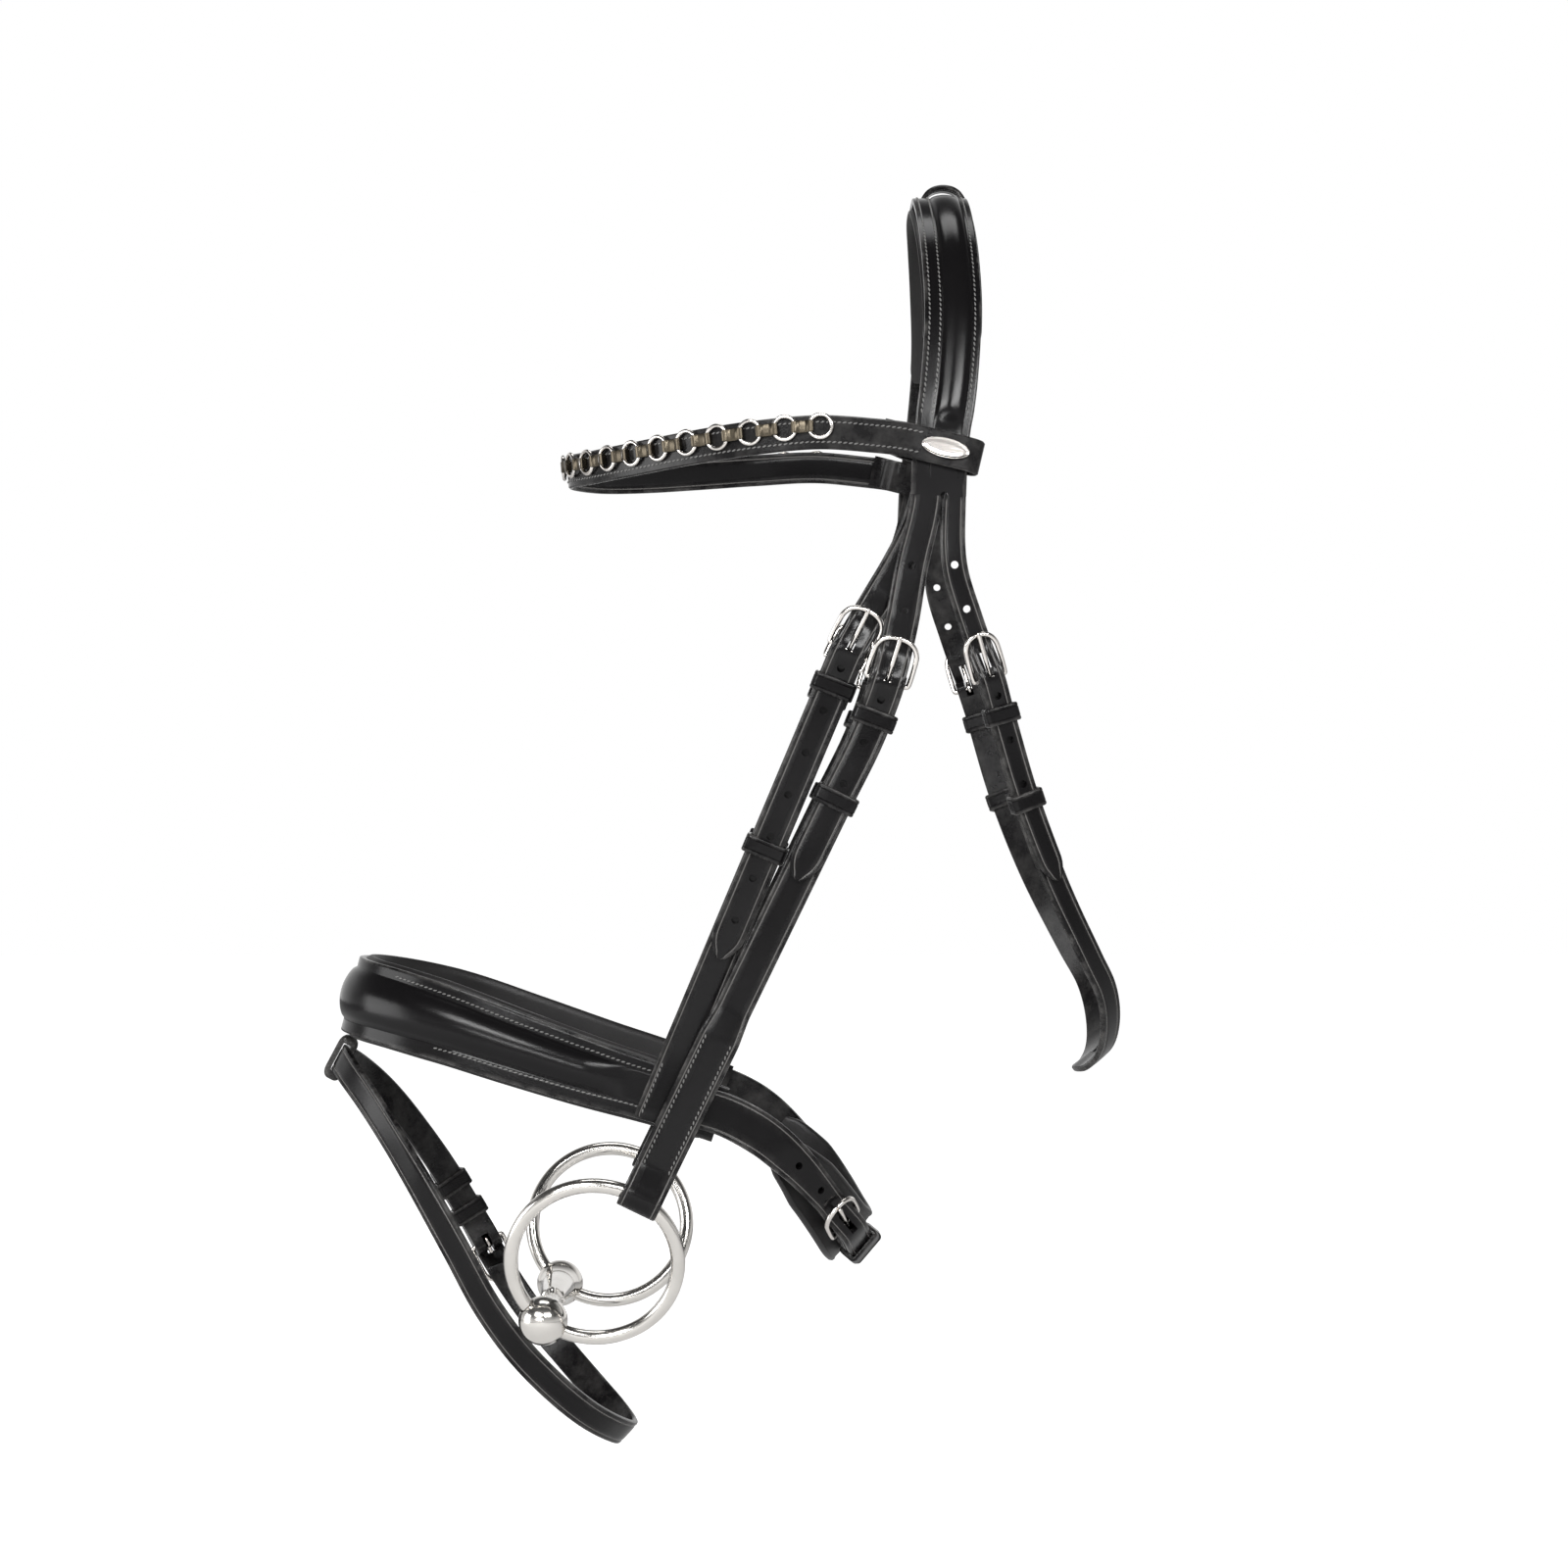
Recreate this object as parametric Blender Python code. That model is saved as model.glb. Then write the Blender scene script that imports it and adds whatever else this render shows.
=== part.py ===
"""A horse's bridle: padded headpiece, ringed browband, padded noseband with a lower strap, and a ring bit.

The horse faces -X and its near side is -Y. The origin is the underside of the crown pad at the poll.
Straps follow smooth lines round the head. A place on a line is given by how far along it lies,
how far across the strap, and how far out from the head.
"""

import math

import bmesh
import bpy
from mathutils import Vector

# The head that the bridle is fitted to.
HEAD_LENGTH = 0.300
HALF_BREADTH = 0.090
HEAD_DROP = 0.500

# Running clearance between pieces, and what a cutter overruns by.
GAP = 0.0003
OVERRUN = 0.002

# Leather.
STRAP_WIDTH = 0.016
TINE_WIDTH = 0.015
THROAT_WIDTH = 0.0115
CHIN_WIDTH = 0.014
CHIN_ROOT_WIDTH = 0.019
FLASH_WIDTH = 0.013
STRAP_THICK = 0.0030
TINE_THICK = 0.0024
LINED_THICK = 0.0052
FOLD_LEATHER = 0.0027
EDGE_BEVEL = 0.0006
STRAP_STEP = 0.012
CHIN_STEP = 0.007
FLASH_STEP = 0.010
LONG_STEP = 0.024

# Headpiece and its pad.
CROWN_WIDTH = 0.025
CROWN_PAD_WIDTH = 0.028
CROWN_PAD_THICK = 0.0022
HEADSTRAP_THICK = 0.0020
CROWN_ROLL = 0.0020
POLL_FLAT = 0.006
CROWN_PAD_LENGTH = 0.112
CROWN_SPLIT = 0.180
SPLIT_HOLE = 0.0016
CROWN_LOOP_WIDTH = 0.012
CROWN_LOOP_THICK = 0.0018
CROWN_LOOP_RISE = 0.0040

# Browband.
BROW_WIDTH = 0.015
BROW_THICK = 0.0022
BROW_OFFSET = 0.160
BROW_LOOP_SLOPE = 0.24
BROW_LOOP_INNER = 0.022
RING_PITCH = 0.0155
RING_RADIUS = 0.0051
RING_WIRE = 0.0018
RING_STRIP = 0.0050
RINGS_EACH_SIDE = 10
RING_STAND = 0.0006
RING_RISE = 0.0024
BADGE_LENGTH = 0.0215
BADGE_WIDTH = 0.0090
BADGE_THICK = 0.0016
BADGE_INSET = 0.0046
BROW_STEPS = 22

# Noseband.
NOSE_WIDTH = 0.035
NOSE_END_WIDTH = 0.025
NOSE_PAD_THICK = 0.0045
NOSE_THICK = 0.0030
NOSE_ROLL = 0.0045
NOSE_PAD_EDGE = 0.0015
CHIN_PAD_WIDTH = 0.030
CHIN_PAD_THICK = 0.0050
FLASH_LOOP_LENGTH = 0.0055
FLASH_LOOP_PLAY = 0.0011
FLASH_LOOP_SIDE_PLAY = 0.0031

# Buckles, tongues, keepers and holes.
WIRE = 0.0023
TONGUE_WIRE = 0.0020
FRAME_LENGTH = 0.0195
FRAME_SIDE = 0.0004
UNDER_ARCH = 0.0009
FOLD_RUN = 0.012
TONGUE_LIFT = 8.0
HOLE = 0.0034
HOLE_PITCH = 0.020
KEEPER_LENGTH = 0.008
KEEPER_WALL = 0.0015
KEEPER_PLAY = 0.0004
CHIN_KEEPER_OFFSET = 0.019
FIXED_KEEPER_OFFSET = 0.0168
RUNNING_KEEPER_OFFSET = 0.056
FRONT_RUNNER_OFFSET = 0.0945
CHEEK_TAIL = 0.095
FRONT_TAIL = 0.147
THROAT_TAIL = 0.094
SHORT_TAIL = 0.050
CHEEK_SET_BACK = 0.0209
CHEEK_DROP_BACK = 0.0045
CHEEK_STAND_OFF = 0.0070
LINED_RUN = 0.092

# Bit.
BIT_RING_RADIUS = 0.0369
BIT_RING_WIRE = 0.0065
BIT_TILT = 18.5
BIT_EYE_ANGLE = 34.8
BIT_BALL_ANGLE = 39.0
BALL_RADIUS = 0.0110
BALL_PLAY = 0.0009
EYE_PLAY = 0.0004
EYE_LEATHER = 0.0026
EYE_WIDTH = 0.0185
CANNON_ROOT = 0.0080
CANNON_TIP = 0.0052
LINK_RADIUS = 0.0050
LINK_WIRE = 0.0032

# Shares chosen by hand for outlines and lines.
EVEN_SHARE = 0.2
POLL_ROUND_SHARE = 0.62
TONGUE_ROOT_SHARE = 0.06
TINE_TOP_SHARE = 0.12
TINE_DOWN_SHARE = 0.70
PAD_SHARES = [(-0.8, 0), (0.8, 0), (1, 0.35), (1, 0.75), (0.92, 1), (-0.92, 1), (-1, 0.75), (-1, 0.35)]
FOLD_SHARES = [(1, 0.32), (0.72, 0.72), (0.3, 0.97), (0, 1)]
FRAME_SHARES = [
    (0.86, 0),
    (1, 0.07),
    (1, 0.58),
    (0.93, 0.76),
    (0.72, 0.9),
    (0.38, 0.98),
    (0, 1),
]
CROWN_ROLL_MIDDLE_SHARE = -0.17
CROWN_ROLL_HALF_SHARE = 0.49
CROWN_ROLL_SHARES = [
    (-1, 0, 0),
    (-1, 1, 0),
    (-0.66, 1, 0),
    (-0.5, 1, 0.85),
    (-0.18, 1, 1),
    (0.14, 1, 0.85),
    (0.32, 1, 0),
    (1, 1, 0),
    (1, 0, 0),
]
NOSE_ROLL_SHARES = [
    (-1, 0, 0),
    (-1, 1, 0),
    (-0.46, 1, 0),
    (-0.28, 1, 0.8),
    (0.04, 1, 1),
    (0.36, 1, 0.8),
    (0.54, 1, 0),
    (1, 1, 0),
    (1, 0, 0),
]
CROWN_SHARES = [
    (0, 0.22, 0.004),
    (0.003, 0.40, 0.019),
    (0.008, 0.63, 0.054),
    (0.011, 0.80, 0.108),
    (0.004, 0.90, 0.170),
    (-0.009, 0.956, 0.230),
    (-0.013, 0.972, 0.280),
]
FRONT_TINE_SHARES = [(-0.044, 1.005, 0.300), (-0.072, 0.982, 0.333), (-0.105, 0.962, 0.366)]
FRONT_BAR_SHARE = (-0.142, 0.944, 0.405)
CHEEK_TINE_SHARE = (-0.052, 1.044, 0.334)
CHEEK_LEAD_SHARES = (0.323, 0.077, 1.297)
CHEEK_BEND_SHARE = (-0.112, 1.005, 0.474)
CHEEK_EYE_SHARE = (-0.445, 0.8955, 0.886)
THROAT_SHARES = [
    (0.232, 0.10, 0.776),
    (0.247, 0.24, 0.765),
    (0.253, 0.42, 0.738),
    (0.242, 0.58, 0.705),
    (0.219, 0.69, 0.678),
    (0.162, 0.845, 0.608),
    (0.118, 0.935, 0.540),
]
THROAT_BAR_SHARE = (0.063, 0.989, 0.429)
THROAT_TINE_SHARES = [(0.034, 1.010, 0.378), (0.012, 1.040, 0.334)]
BROW_SHARES = [
    (-0.526, 0.305, 0.235),
    (-0.457, 0.561, 0.231),
    (-0.375, 0.772, 0.225),
    (-0.285, 0.928, 0.219),
    (-0.175, 1.011, 0.215),
    (-0.114, 1.042, 0.218),
]
BROW_FRONT_SHARE = (-0.565, 0, 0.235)
NOSE_FRONT_SHARE = (-0.876, 0, 0.717)
NOSE_SHARES = [
    (-0.858, 0.21, 0.719),
    (-0.810, 0.367, 0.725),
    (-0.740, 0.489, 0.736),
    (-0.637, 0.578, 0.756),
    (-0.523, 0.622, 0.778),
    (-0.417, 0.644, 0.797),
    (-0.330, 0.644, 0.815),
]
CHIN_MIDDLE_SHARE = (-0.143, 0, 0.932)
CHIN_SHARES = [
    (-0.152, 0.19, 0.924),
    (-0.170, 0.345, 0.906),
    (-0.197, 0.489, 0.882),
    (-0.230, 0.589, 0.858),
    (-0.273, 0.644, 0.835),
    (-0.330, 0.656, 0.815),
    (-0.390, 0.664, 0.803),
]
FLASH_FRONT_SHARE = (-0.917, 0, 0.7735)
FLASH_SHARES = [
    (-0.902, 0.156, 0.782),
    (-0.865, 0.333, 0.806),
    (-0.790, 0.517, 0.870),
    (-0.725, 0.589, 0.936),
]
FLASH_BIT_SHARES = [
    (-0.0824, 0.600, 0.990),
    (-0.0374, 0.578, 1.028),
    (0.0106, 0.522, 1.060),
    (0.0576, 0.400, 1.088),
    (0.0946, 0.222, 1.107),
    (0.1146, 0, 1.117),
]
CROWN_LOOP_SHARES = [
    (-1, 0),
    (-1.02, 0.45),
    (-0.88, 0.76),
    (-0.45, 0.95),
    (0, 1),
    (0.45, 0.95),
    (0.88, 0.76),
    (1.02, 0.45),
    (1, 0),
]
BROW_CORE_SHARES = [(-0.317, 0, 0.224), (0, 0, 0.23)]
NOSE_CORE_SHARES = [(-0.715, 0, 0.742), (-0.333, 0, 0.814)]
CHIN_CORE_SHARES = [(-0.293, 0, 0.856), (-0.383, 0, 0.806)]
FLASH_CORE_SHARES = [(-0.74, 0, 0.83), (-0.60, 0, 1.05)]
THROAT_CORE_SHARES = [(0.015, 0, 0.30), (0.05, 0, 0.65)]
THROAT_LOW_SHARE = (0.222, 0, 0.777)
HEADSTRAP_END_SHARES = [(0.82, 0), (0.91, 0.07)]
HANGER_RUN_SHARES = (0.12, 0.3, 0.5, 0.7, 0.9)
CHEEK_RUN_SHARES = (0.15, 0.35, 0.6, 0.85, 1)
HANGER_FOOT_SHARE = 0.86
CHIN_BAR_SHARE = 0.24
FLASH_BAR_SHARE = 0.50


def clear_scene():
    """Empties the file that the script runs in."""
    for item in list(bpy.data.objects):
        bpy.data.objects.remove(item)


def place(back, out, down):
    """A point from shares of the head's reach, half breadth and drop, on the near side."""
    return Vector((back * HEAD_LENGTH, -out * HALF_BREADTH, -down * HEAD_DROP))


def material(name, colour, roughness, metallic):
    """A plain surface."""
    made = bpy.data.materials.new(name)
    made.use_nodes = True
    shader = made.node_tree.nodes["Principled BSDF"]
    shader.inputs["Base Color"].default_value = (*colour, 1)
    shader.inputs["Roughness"].default_value = roughness
    shader.inputs["Metallic"].default_value = metallic
    return made


def leather(name):
    """Polished black bridle leather."""
    return material(name, (0.018, 0.017, 0.018), 0.36, 0)


def padding(name):
    """The softer lining leather over the pads."""
    return material(name, (0.024, 0.022, 0.023), 0.55, 0)


def nickel(name):
    """Bright plated hardware."""
    return material(name, (0.78, 0.75, 0.71), 0.16, 1)


def steel(name):
    """The bit's polished steel."""
    return material(name, (0.66, 0.62, 0.56), 0.2, 1)


class Line:
    """A smooth line through chosen points, measured along its length from the point numbered zero.

    A mirrored line starts on the head's middle plane: minus distances are on the off side. A closed
    one also ends there, and goes round.
    """

    STEPS = 16

    def __init__(self, points, outward, zero=0, mirrored=False, closed=False):
        self.outward = outward
        self.mirrored = mirrored
        self.closed = closed
        spans = [(after - before).length for before, after in zip(points, points[1:])]
        slopes = self.slopes(points, spans)
        if mirrored:
            slopes[0] = Vector((0, -1, 0))
        if closed:
            slopes[-1] = Vector((0, 1, 0))
        self.places = [points[0]]
        for number, span in enumerate(spans):
            for step in range(1, self.STEPS + 1):
                share = step / self.STEPS
                self.places.append(self.curve(points, slopes, number, span, share))
        self.gone = [0.0]
        for before, after in zip(self.places, self.places[1:]):
            self.gone.append(self.gone[-1] + (after - before).length)
        self.start = self.gone[zero * self.STEPS]
        self.length = self.gone[-1] - self.start
        self.ways = self.directions()

    @staticmethod
    def slopes(points, spans):
        """The direction of the line at each of its points."""
        chords = [(after - before) / span for before, after, span in zip(points, points[1:], spans)]
        inner = [
            (chords[i] * spans[i + 1] + chords[i + 1] * spans[i]) / (spans[i] + spans[i + 1])
            for i in range(len(spans) - 1)
        ]
        return [chords[0], *inner, chords[-1]]

    @staticmethod
    def curve(points, slopes, number, span, share):
        """A cubic between two points, with the slopes at both."""
        square, cube = share * share, share * share * share
        return (
            points[number] * (2 * cube - 3 * square + 1)
            + slopes[number] * span * (cube - 2 * square + share)
            + points[number + 1] * (3 * square - 2 * cube)
            + slopes[number + 1] * span * (cube - square)
        )

    def directions(self):
        """The unit direction at each stored place."""
        last = len(self.places) - 1
        return [
            (self.places[min(i + 1, last)] - self.places[max(i - 1, 0)]).normalized()
            for i in range(last + 1)
        ]

    def frame(self, along):
        """The place, the direction, the outward normal and the direction across, at one distance."""
        if self.closed:
            along = (along + self.length) % (2 * self.length) - self.length
        off_side = self.mirrored and along < 0
        want = self.start + (-along if off_side else along)
        low, high = 0, len(self.gone) - 2
        while low < high:
            middle = (low + high + 1) // 2
            if self.gone[middle] <= want:
                low = middle
            else:
                high = middle - 1
        share = (want - self.gone[low]) / (self.gone[low + 1] - self.gone[low])
        where = self.places[low].lerp(self.places[low + 1], share)
        way = self.ways[low].lerp(self.ways[low + 1], min(max(share, 0), 1)).normalized()
        out = where - self.outward(where)
        out = (out - way * out.dot(way)).normalized()
        if off_side:
            where = Vector((where.x, -where.y, where.z))
            out = Vector((out.x, -out.y, out.z))
            way = Vector((-way.x, way.y, -way.z))
        return where, way, out, way.cross(out)

    def at(self, along, across, lift):
        """A point on the strap that follows the line."""
        where, _, out, side = self.frame(along)
        return where + side * across + out * lift


def core(shares):
    """Gives, for any point, the nearest point on a stretch of the head's middle."""
    start, end = (place(*share) for share in shares)

    def nearest(point):
        run = end - start
        share = min(max((point - start).dot(run) / run.length_squared, 0), 1)
        return start + run * share

    return nearest


def middle_plane(point):
    """Gives the point on the head's middle plane beside a point on its side."""
    return Vector((point.x, 0, point.z))


def poll_core(point):
    """Gives the middle of the poll's round for a point above it, and else the middle plane."""
    return Vector((point.x, 0, min(point.z, -POLL_ROUND_SHARE * HALF_BREADTH)))


def skin(rings, closed=False):
    """Joins rings of points into one closed shape, with end caps or end to end."""
    count = len(rings[0])
    points = [point for ring in rings for point in ring]
    faces = []
    for number in range(len(rings) if closed else len(rings) - 1):
        base, other = number * count, ((number + 1) % len(rings)) * count
        for i in range(count):
            j = (i + 1) % count
            faces.append((base + i, base + j, other + j, other + i))
    if not closed:
        faces.append(tuple(reversed(range(count))))
        faces.append(tuple((len(rings) - 1) * count + i for i in range(count)))
    return points, faces


def hollow(outer, inner):
    """A short sleeve between two rings of points at each end: outer and inner are (start, end)."""
    count = len(outer[0])
    points = [*outer[0], *outer[1], *inner[1], *inner[0]]
    faces = []
    for number in range(4):
        base, other = number * count, ((number + 1) % 4) * count
        for i in range(count):
            j = (i + 1) % count
            faces.append((base + i, base + j, other + j, other + i))
    return points, faces


def both(shapes):
    """Several closed shapes as one set of points and faces."""
    points, faces = [], []
    for some_points, some_faces in shapes:
        base = len(points)
        points.extend(some_points)
        faces.extend(tuple(base + i for i in face) for face in some_faces)
    return points, faces


def mirrored(shape):
    """The same shape on the off side."""
    points, faces = shape
    return [Vector((p.x, -p.y, p.z)) for p in points], [tuple(reversed(face)) for face in faces]


def make(name, shape, finish, origin=None):
    """One object from a shape, with its origin at the given point."""
    points, faces = shape
    origin = origin or Vector()
    mesh = bpy.data.meshes.new(name)
    mesh.from_pydata([point - origin for point in points], [], faces)
    work = bmesh.new()
    work.from_mesh(mesh)
    bmesh.ops.recalc_face_normals(work, faces=work.faces)
    work.to_mesh(mesh)
    work.free()
    mesh.shade_smooth()
    mesh.set_sharp_from_angle(angle=math.radians(35))
    if finish:
        mesh.materials.append(finish)
    item = bpy.data.objects.new(name, mesh)
    item.location = origin
    bpy.context.scene.collection.objects.link(item)
    return item


def combine(item, shapes, operation, label):
    """Cuts shapes out of an object, or joins them to it."""
    tool = make(f"{item.name}_{label}", both(shapes), None)
    tool.hide_render = True
    tool.display_type = "WIRE"
    step = item.modifiers.new(label, "BOOLEAN")
    step.operation = operation
    step.solver = "EXACT"
    step.use_self = True
    step.object = tool
    return item


def cut(item, shapes):
    """Cuts shapes out of an object."""
    return combine(item, shapes, "DIFFERENCE", "cut")


def join(item, shapes):
    """Joins shapes to an object that they reach into."""
    return combine(item, shapes, "UNION", "joined")


def filled(profile, step=STRAP_STEP):
    """A strap's stations with extra ones at whole steps along the line, so that layers bend alike."""
    stations = [profile[0]]
    for before, after in zip(profile, profile[1:]):
        first = math.ceil(before[0] / step + EVEN_SHARE)
        last = math.floor(after[0] / step - EVEN_SHARE)
        for number in range(first, last + 1):
            share = (number * step - before[0]) / (after[0] - before[0])
            stations.append(tuple(a + (b - a) * share for a, b in zip(before, after)))
        stations.append(after)
    return stations


def flat_section(low, high, half):
    """A strap's section: square at the head's side, with its outer edges eased."""
    ease = min(EDGE_BEVEL, half / 2, (high - low) / 2)
    return [
        (-half, low),
        (half, low),
        (half, high - ease),
        (half - ease, high),
        (-half + ease, high),
        (-half, high - ease),
    ]


def pad_section(low, high, half):
    """A pad's section, with rounded edges."""
    thick = high - low
    return [(half * across, low + thick * up) for across, up in PAD_SHARES]


def rolled_section(low, high, half, roll, shares):
    """A strap's section with a raised roll along it. Shares list how far across and how much roll."""
    return [(half * across, (high if up else low) + roll * crown) for across, up, crown in shares]


def strap(line, profile, section=flat_section, step=STRAP_STEP):
    """A strap along a line. Each station is (along, low, high, half width and so on)."""
    rings = []
    for along, *sizes in filled(profile, step):
        where, _, out, side = line.frame(along)
        rings.append([where + side * across + out * lift for across, lift in section(*sizes)])
    return skin(rings)


def ribbon(places, across, width, thick):
    """A strip of even thickness whose middle follows places in a plane square to across."""
    rings = []
    last = len(places) - 1
    for number, where in enumerate(places):
        way = (places[min(number + 1, last)] - places[max(number - 1, 0)]).normalized()
        out = way.cross(across).normalized()
        section = flat_section(-thick / 2, thick / 2, width / 2)
        rings.append([where + across * side + out * lift for side, lift in section])
    return skin(rings)


def wire_loop(places, normal, radius, sides, closed=True):
    """A round wire along places that lie in one plane."""
    rings = []
    count = len(places)
    for number, where in enumerate(places):
        if closed:
            way = places[(number + 1) % count] - places[number - 1]
        else:
            way = places[min(number + 1, count - 1)] - places[max(number - 1, 0)]
        side = way.normalized().cross(normal)
        rings.append(
            [
                where
                + side * (radius * math.cos(2 * math.pi * i / sides))
                + normal * (radius * math.sin(2 * math.pi * i / sides))
                for i in range(sides)
            ]
        )
    return skin(rings, closed)


def circle(centre, first, second, radius, count):
    """Points round a circle from the first direction towards the second."""
    return [
        centre
        + first * (radius * math.cos(2 * math.pi * i / count))
        + second * (radius * math.sin(2 * math.pi * i / count))
        for i in range(count)
    ]


def rod(start, end, radius, sides):
    """A round bar from one point to another."""
    way = (end - start).normalized()
    side = way.orthogonal().normalized()
    return skin([circle(point, side, way.cross(side), radius, sides) for point in (start, end)])


def block(origin, axes, lows, highs):
    """A box along three axes, from its low to its high distances."""
    corners = [
        [origin + axes[0] * x + axes[1] * y + axes[2] * z for x, y in square]
        for z in (lows[2], highs[2])
        for square in [
            [(lows[0], lows[1]), (highs[0], lows[1]), (highs[0], highs[1]), (lows[0], highs[1])]
        ]
    ]
    return skin(corners)


def hole(line, along, lift, diameter, across=0):
    """A cutter for a punched hole through a strap."""
    reach = STRAP_THICK + OVERRUN
    return rod(line.at(along, across, lift - reach), line.at(along, across, lift + reach), diameter / 2, 6)


class Buckle:
    """A buckle on the folded end of a strap, with its tongue, and what its strap end needs.

    Its own distances run from the bar: along the strap that carries it, out from the head, and
    across. The other strap's tine comes in under the arch, crosses the bar and goes on outside.
    """

    def __init__(self, line, along, sense, half, body, step=STRAP_STEP):
        self.line = line
        self.place = along
        self.sense = sense
        self.half = half
        self.body = body
        self.step = step
        where, way, out, side = line.frame(along)
        self.bar, self.way, self.out, self.side = where, way * sense, out, side
        self.fold = WIRE / 2 + GAP + FOLD_LEATHER
        self.arch = UNDER_ARCH + TINE_THICK / 2 + 2.5 * GAP + WIRE / 2
        self.over_fold = self.fold + GAP + TINE_THICK / 2
        self.over_body = body / 2 + GAP + TINE_THICK / 2
        self.wide = half + FRAME_SIDE + WIRE / 2
        self.axis = self.out.cross(self.way)

    def at(self, along, out, across):
        """A point in the buckle's own distances."""
        return self.bar + self.way * along + self.out * out + self.side * across

    def frame(self):
        """The wire frame: a straight bar, two legs that lean out, and a round arch."""
        lean = self.arch / FRAME_LENGTH
        shape = [(across, along) for across, along in FRAME_SHARES]
        shape += [(-across, along) for across, along in reversed(FRAME_SHARES) if across > 0]
        places = []
        for across, along in shape:
            back = -FRAME_LENGTH * along
            places.append(self.at(back, -back * lean, self.wide * across))
        normal = (self.out + self.way * lean).normalized()
        return wire_loop(places, normal, WIRE / 2, 6)

    def eye(self):
        """The radius of the tongue's round eye, at the middle of its wire."""
        return WIRE / 2 + GAP + TONGUE_WIRE / 2

    def tip(self):
        """How far back and out the tongue's tip rests on the arch."""
        return FRAME_LENGTH + WIRE / 2, self.arch + WIRE / 2 + GAP + TONGUE_WIRE / 2

    def tongue(self):
        """The tongue: wire bent round the bar, with a straight shank to the arch."""
        back, out = self.tip()
        eye = self.eye()
        places = [self.at(-back * share, eye + (out - eye) * share, 0) for share in (1, 0.5, TONGUE_ROOT_SHARE)]
        for step in range(1, 7):
            turn = math.radians(45 * step)
            places.append(self.at(eye * math.sin(turn), eye * math.cos(turn), 0))
        return wire_loop(places, self.side, TONGUE_WIRE / 2, 6, closed=False)

    def slot(self):
        """Where the tongue goes through the tine: from and to, back from the bar."""
        back, out = self.tip()
        fall = (self.over_fold - UNDER_ARCH) / (FRAME_LENGTH * (TINE_DOWN_SHARE - TINE_TOP_SHARE))
        rise = (out - self.eye()) / back
        start = FRAME_LENGTH * TINE_TOP_SHARE
        cross = (self.over_fold + fall * start - self.eye()) / (rise + fall)
        half = (TINE_THICK / 2 + TONGUE_WIRE / 2 + 2 * GAP) * math.hypot(1, fall) / (rise + fall)
        lift = cross * math.tan(math.radians(TONGUE_LIFT)) / (rise + fall)
        return max(cross - half - lift, 0), cross + half

    def tine_cut(self):
        """The cutter for the slotted hole that the tongue goes through."""
        near, far = self.slot()
        reach = self.over_fold + TINE_THICK + OVERRUN
        side = TONGUE_WIRE / 2 + 2 * GAP
        axes = (self.way, self.side, self.out)
        return block(self.bar, axes, (-far, -side, -reach), (-near, side, reach))

    def carrier(self, far, more=()):
        """Stations of the strap that carries the buckle, from its fold to a far distance."""
        fold, body, half = self.fold, self.body / 2, self.half
        stations = [(-fold * back, fold * up, half) for back, up in FOLD_SHARES]
        stations += [(FOLD_RUN / 2, (fold + body) / 2, half), (FOLD_RUN, body, half)]
        stations += [(along, thick, wide) for along, thick, wide in more]
        if far is not None:
            stations.append((far, body, half))
        return [(along, -thick, thick, wide) for along, thick, wide in stations]

    def on_line(self, stations):
        """The same stations measured along the line, in rising order."""
        moved = [(self.place + self.sense * along, *sizes) for along, *sizes in stations]
        return moved if self.sense > 0 else moved[::-1]

    def carrier_cuts(self):
        """The bore for the bar and the slot for the tongue's eye."""
        reach = self.half + OVERRUN
        bore = rod(self.at(0, 0, -reach), self.at(0, 0, reach), WIRE / 2 + GAP, 8)
        eye = self.eye() + TONGUE_WIRE / 2 + GAP
        tall = self.fold + OVERRUN
        side = TONGUE_WIRE / 2 + 2 * GAP
        axes = (self.way, self.side, self.out)
        slot = block(self.bar, axes, (-self.fold - OVERRUN, -side, -tall), (eye, side, tall))
        return [bore, slot]

    def tine(self, tail, half, before):
        """Stations of the tine through the buckle. Before gives those that lead up to the arch."""
        thick = TINE_THICK / 2
        lifts = [
            (-FRAME_LENGTH * 1.05, UNDER_ARCH, half),
            (-FRAME_LENGTH * TINE_DOWN_SHARE, UNDER_ARCH, half),
            (-FRAME_LENGTH * TINE_TOP_SHARE, self.over_fold, half),
            (self.fold / 2, self.over_fold, half),
            (FOLD_RUN, self.over_body, half),
            (tail - half * 1.6, self.over_body, half),
            (tail - half * 0.6, self.over_body, half * 0.72),
            (tail, self.over_body, half * 0.22),
        ]
        return [*before, *((along, lift - thick, lift + thick, wide) for along, lift, wide in lifts)]

    def keeper(self, along):
        """A leather loop round both straps, and the place of its middle."""
        low, high = -self.body / 2 - KEEPER_PLAY, self.over_body + TINE_THICK / 2 + KEEPER_PLAY
        return sleeve(self.line, self.place + self.sense * along, low, high, self.half + KEEPER_PLAY)


def sleeve(line, along, low, high, half, length=KEEPER_LENGTH):
    """A keeper round whatever lies between two lifts at one place of a line."""
    where, way, out, side = line.frame(along)

    def rings(grow):
        wide, bottom, top = half + grow, low - grow, high + grow
        cut_back = KEEPER_WALL * 0.6
        outline = [
            (-wide + cut_back, bottom),
            (wide - cut_back, bottom),
            (wide, bottom + cut_back),
            (wide, top - cut_back),
            (wide - cut_back, top),
            (-wide + cut_back, top),
            (-wide, top - cut_back),
            (-wide, bottom + cut_back),
        ]
        return [
            [where + way * step + side * across + out * lift for across, lift in outline]
            for step in (-length / 2, length / 2)
        ]

    return hollow(rings(KEEPER_WALL), inner_rings(where, way, out, side, low, high, half, length))


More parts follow.
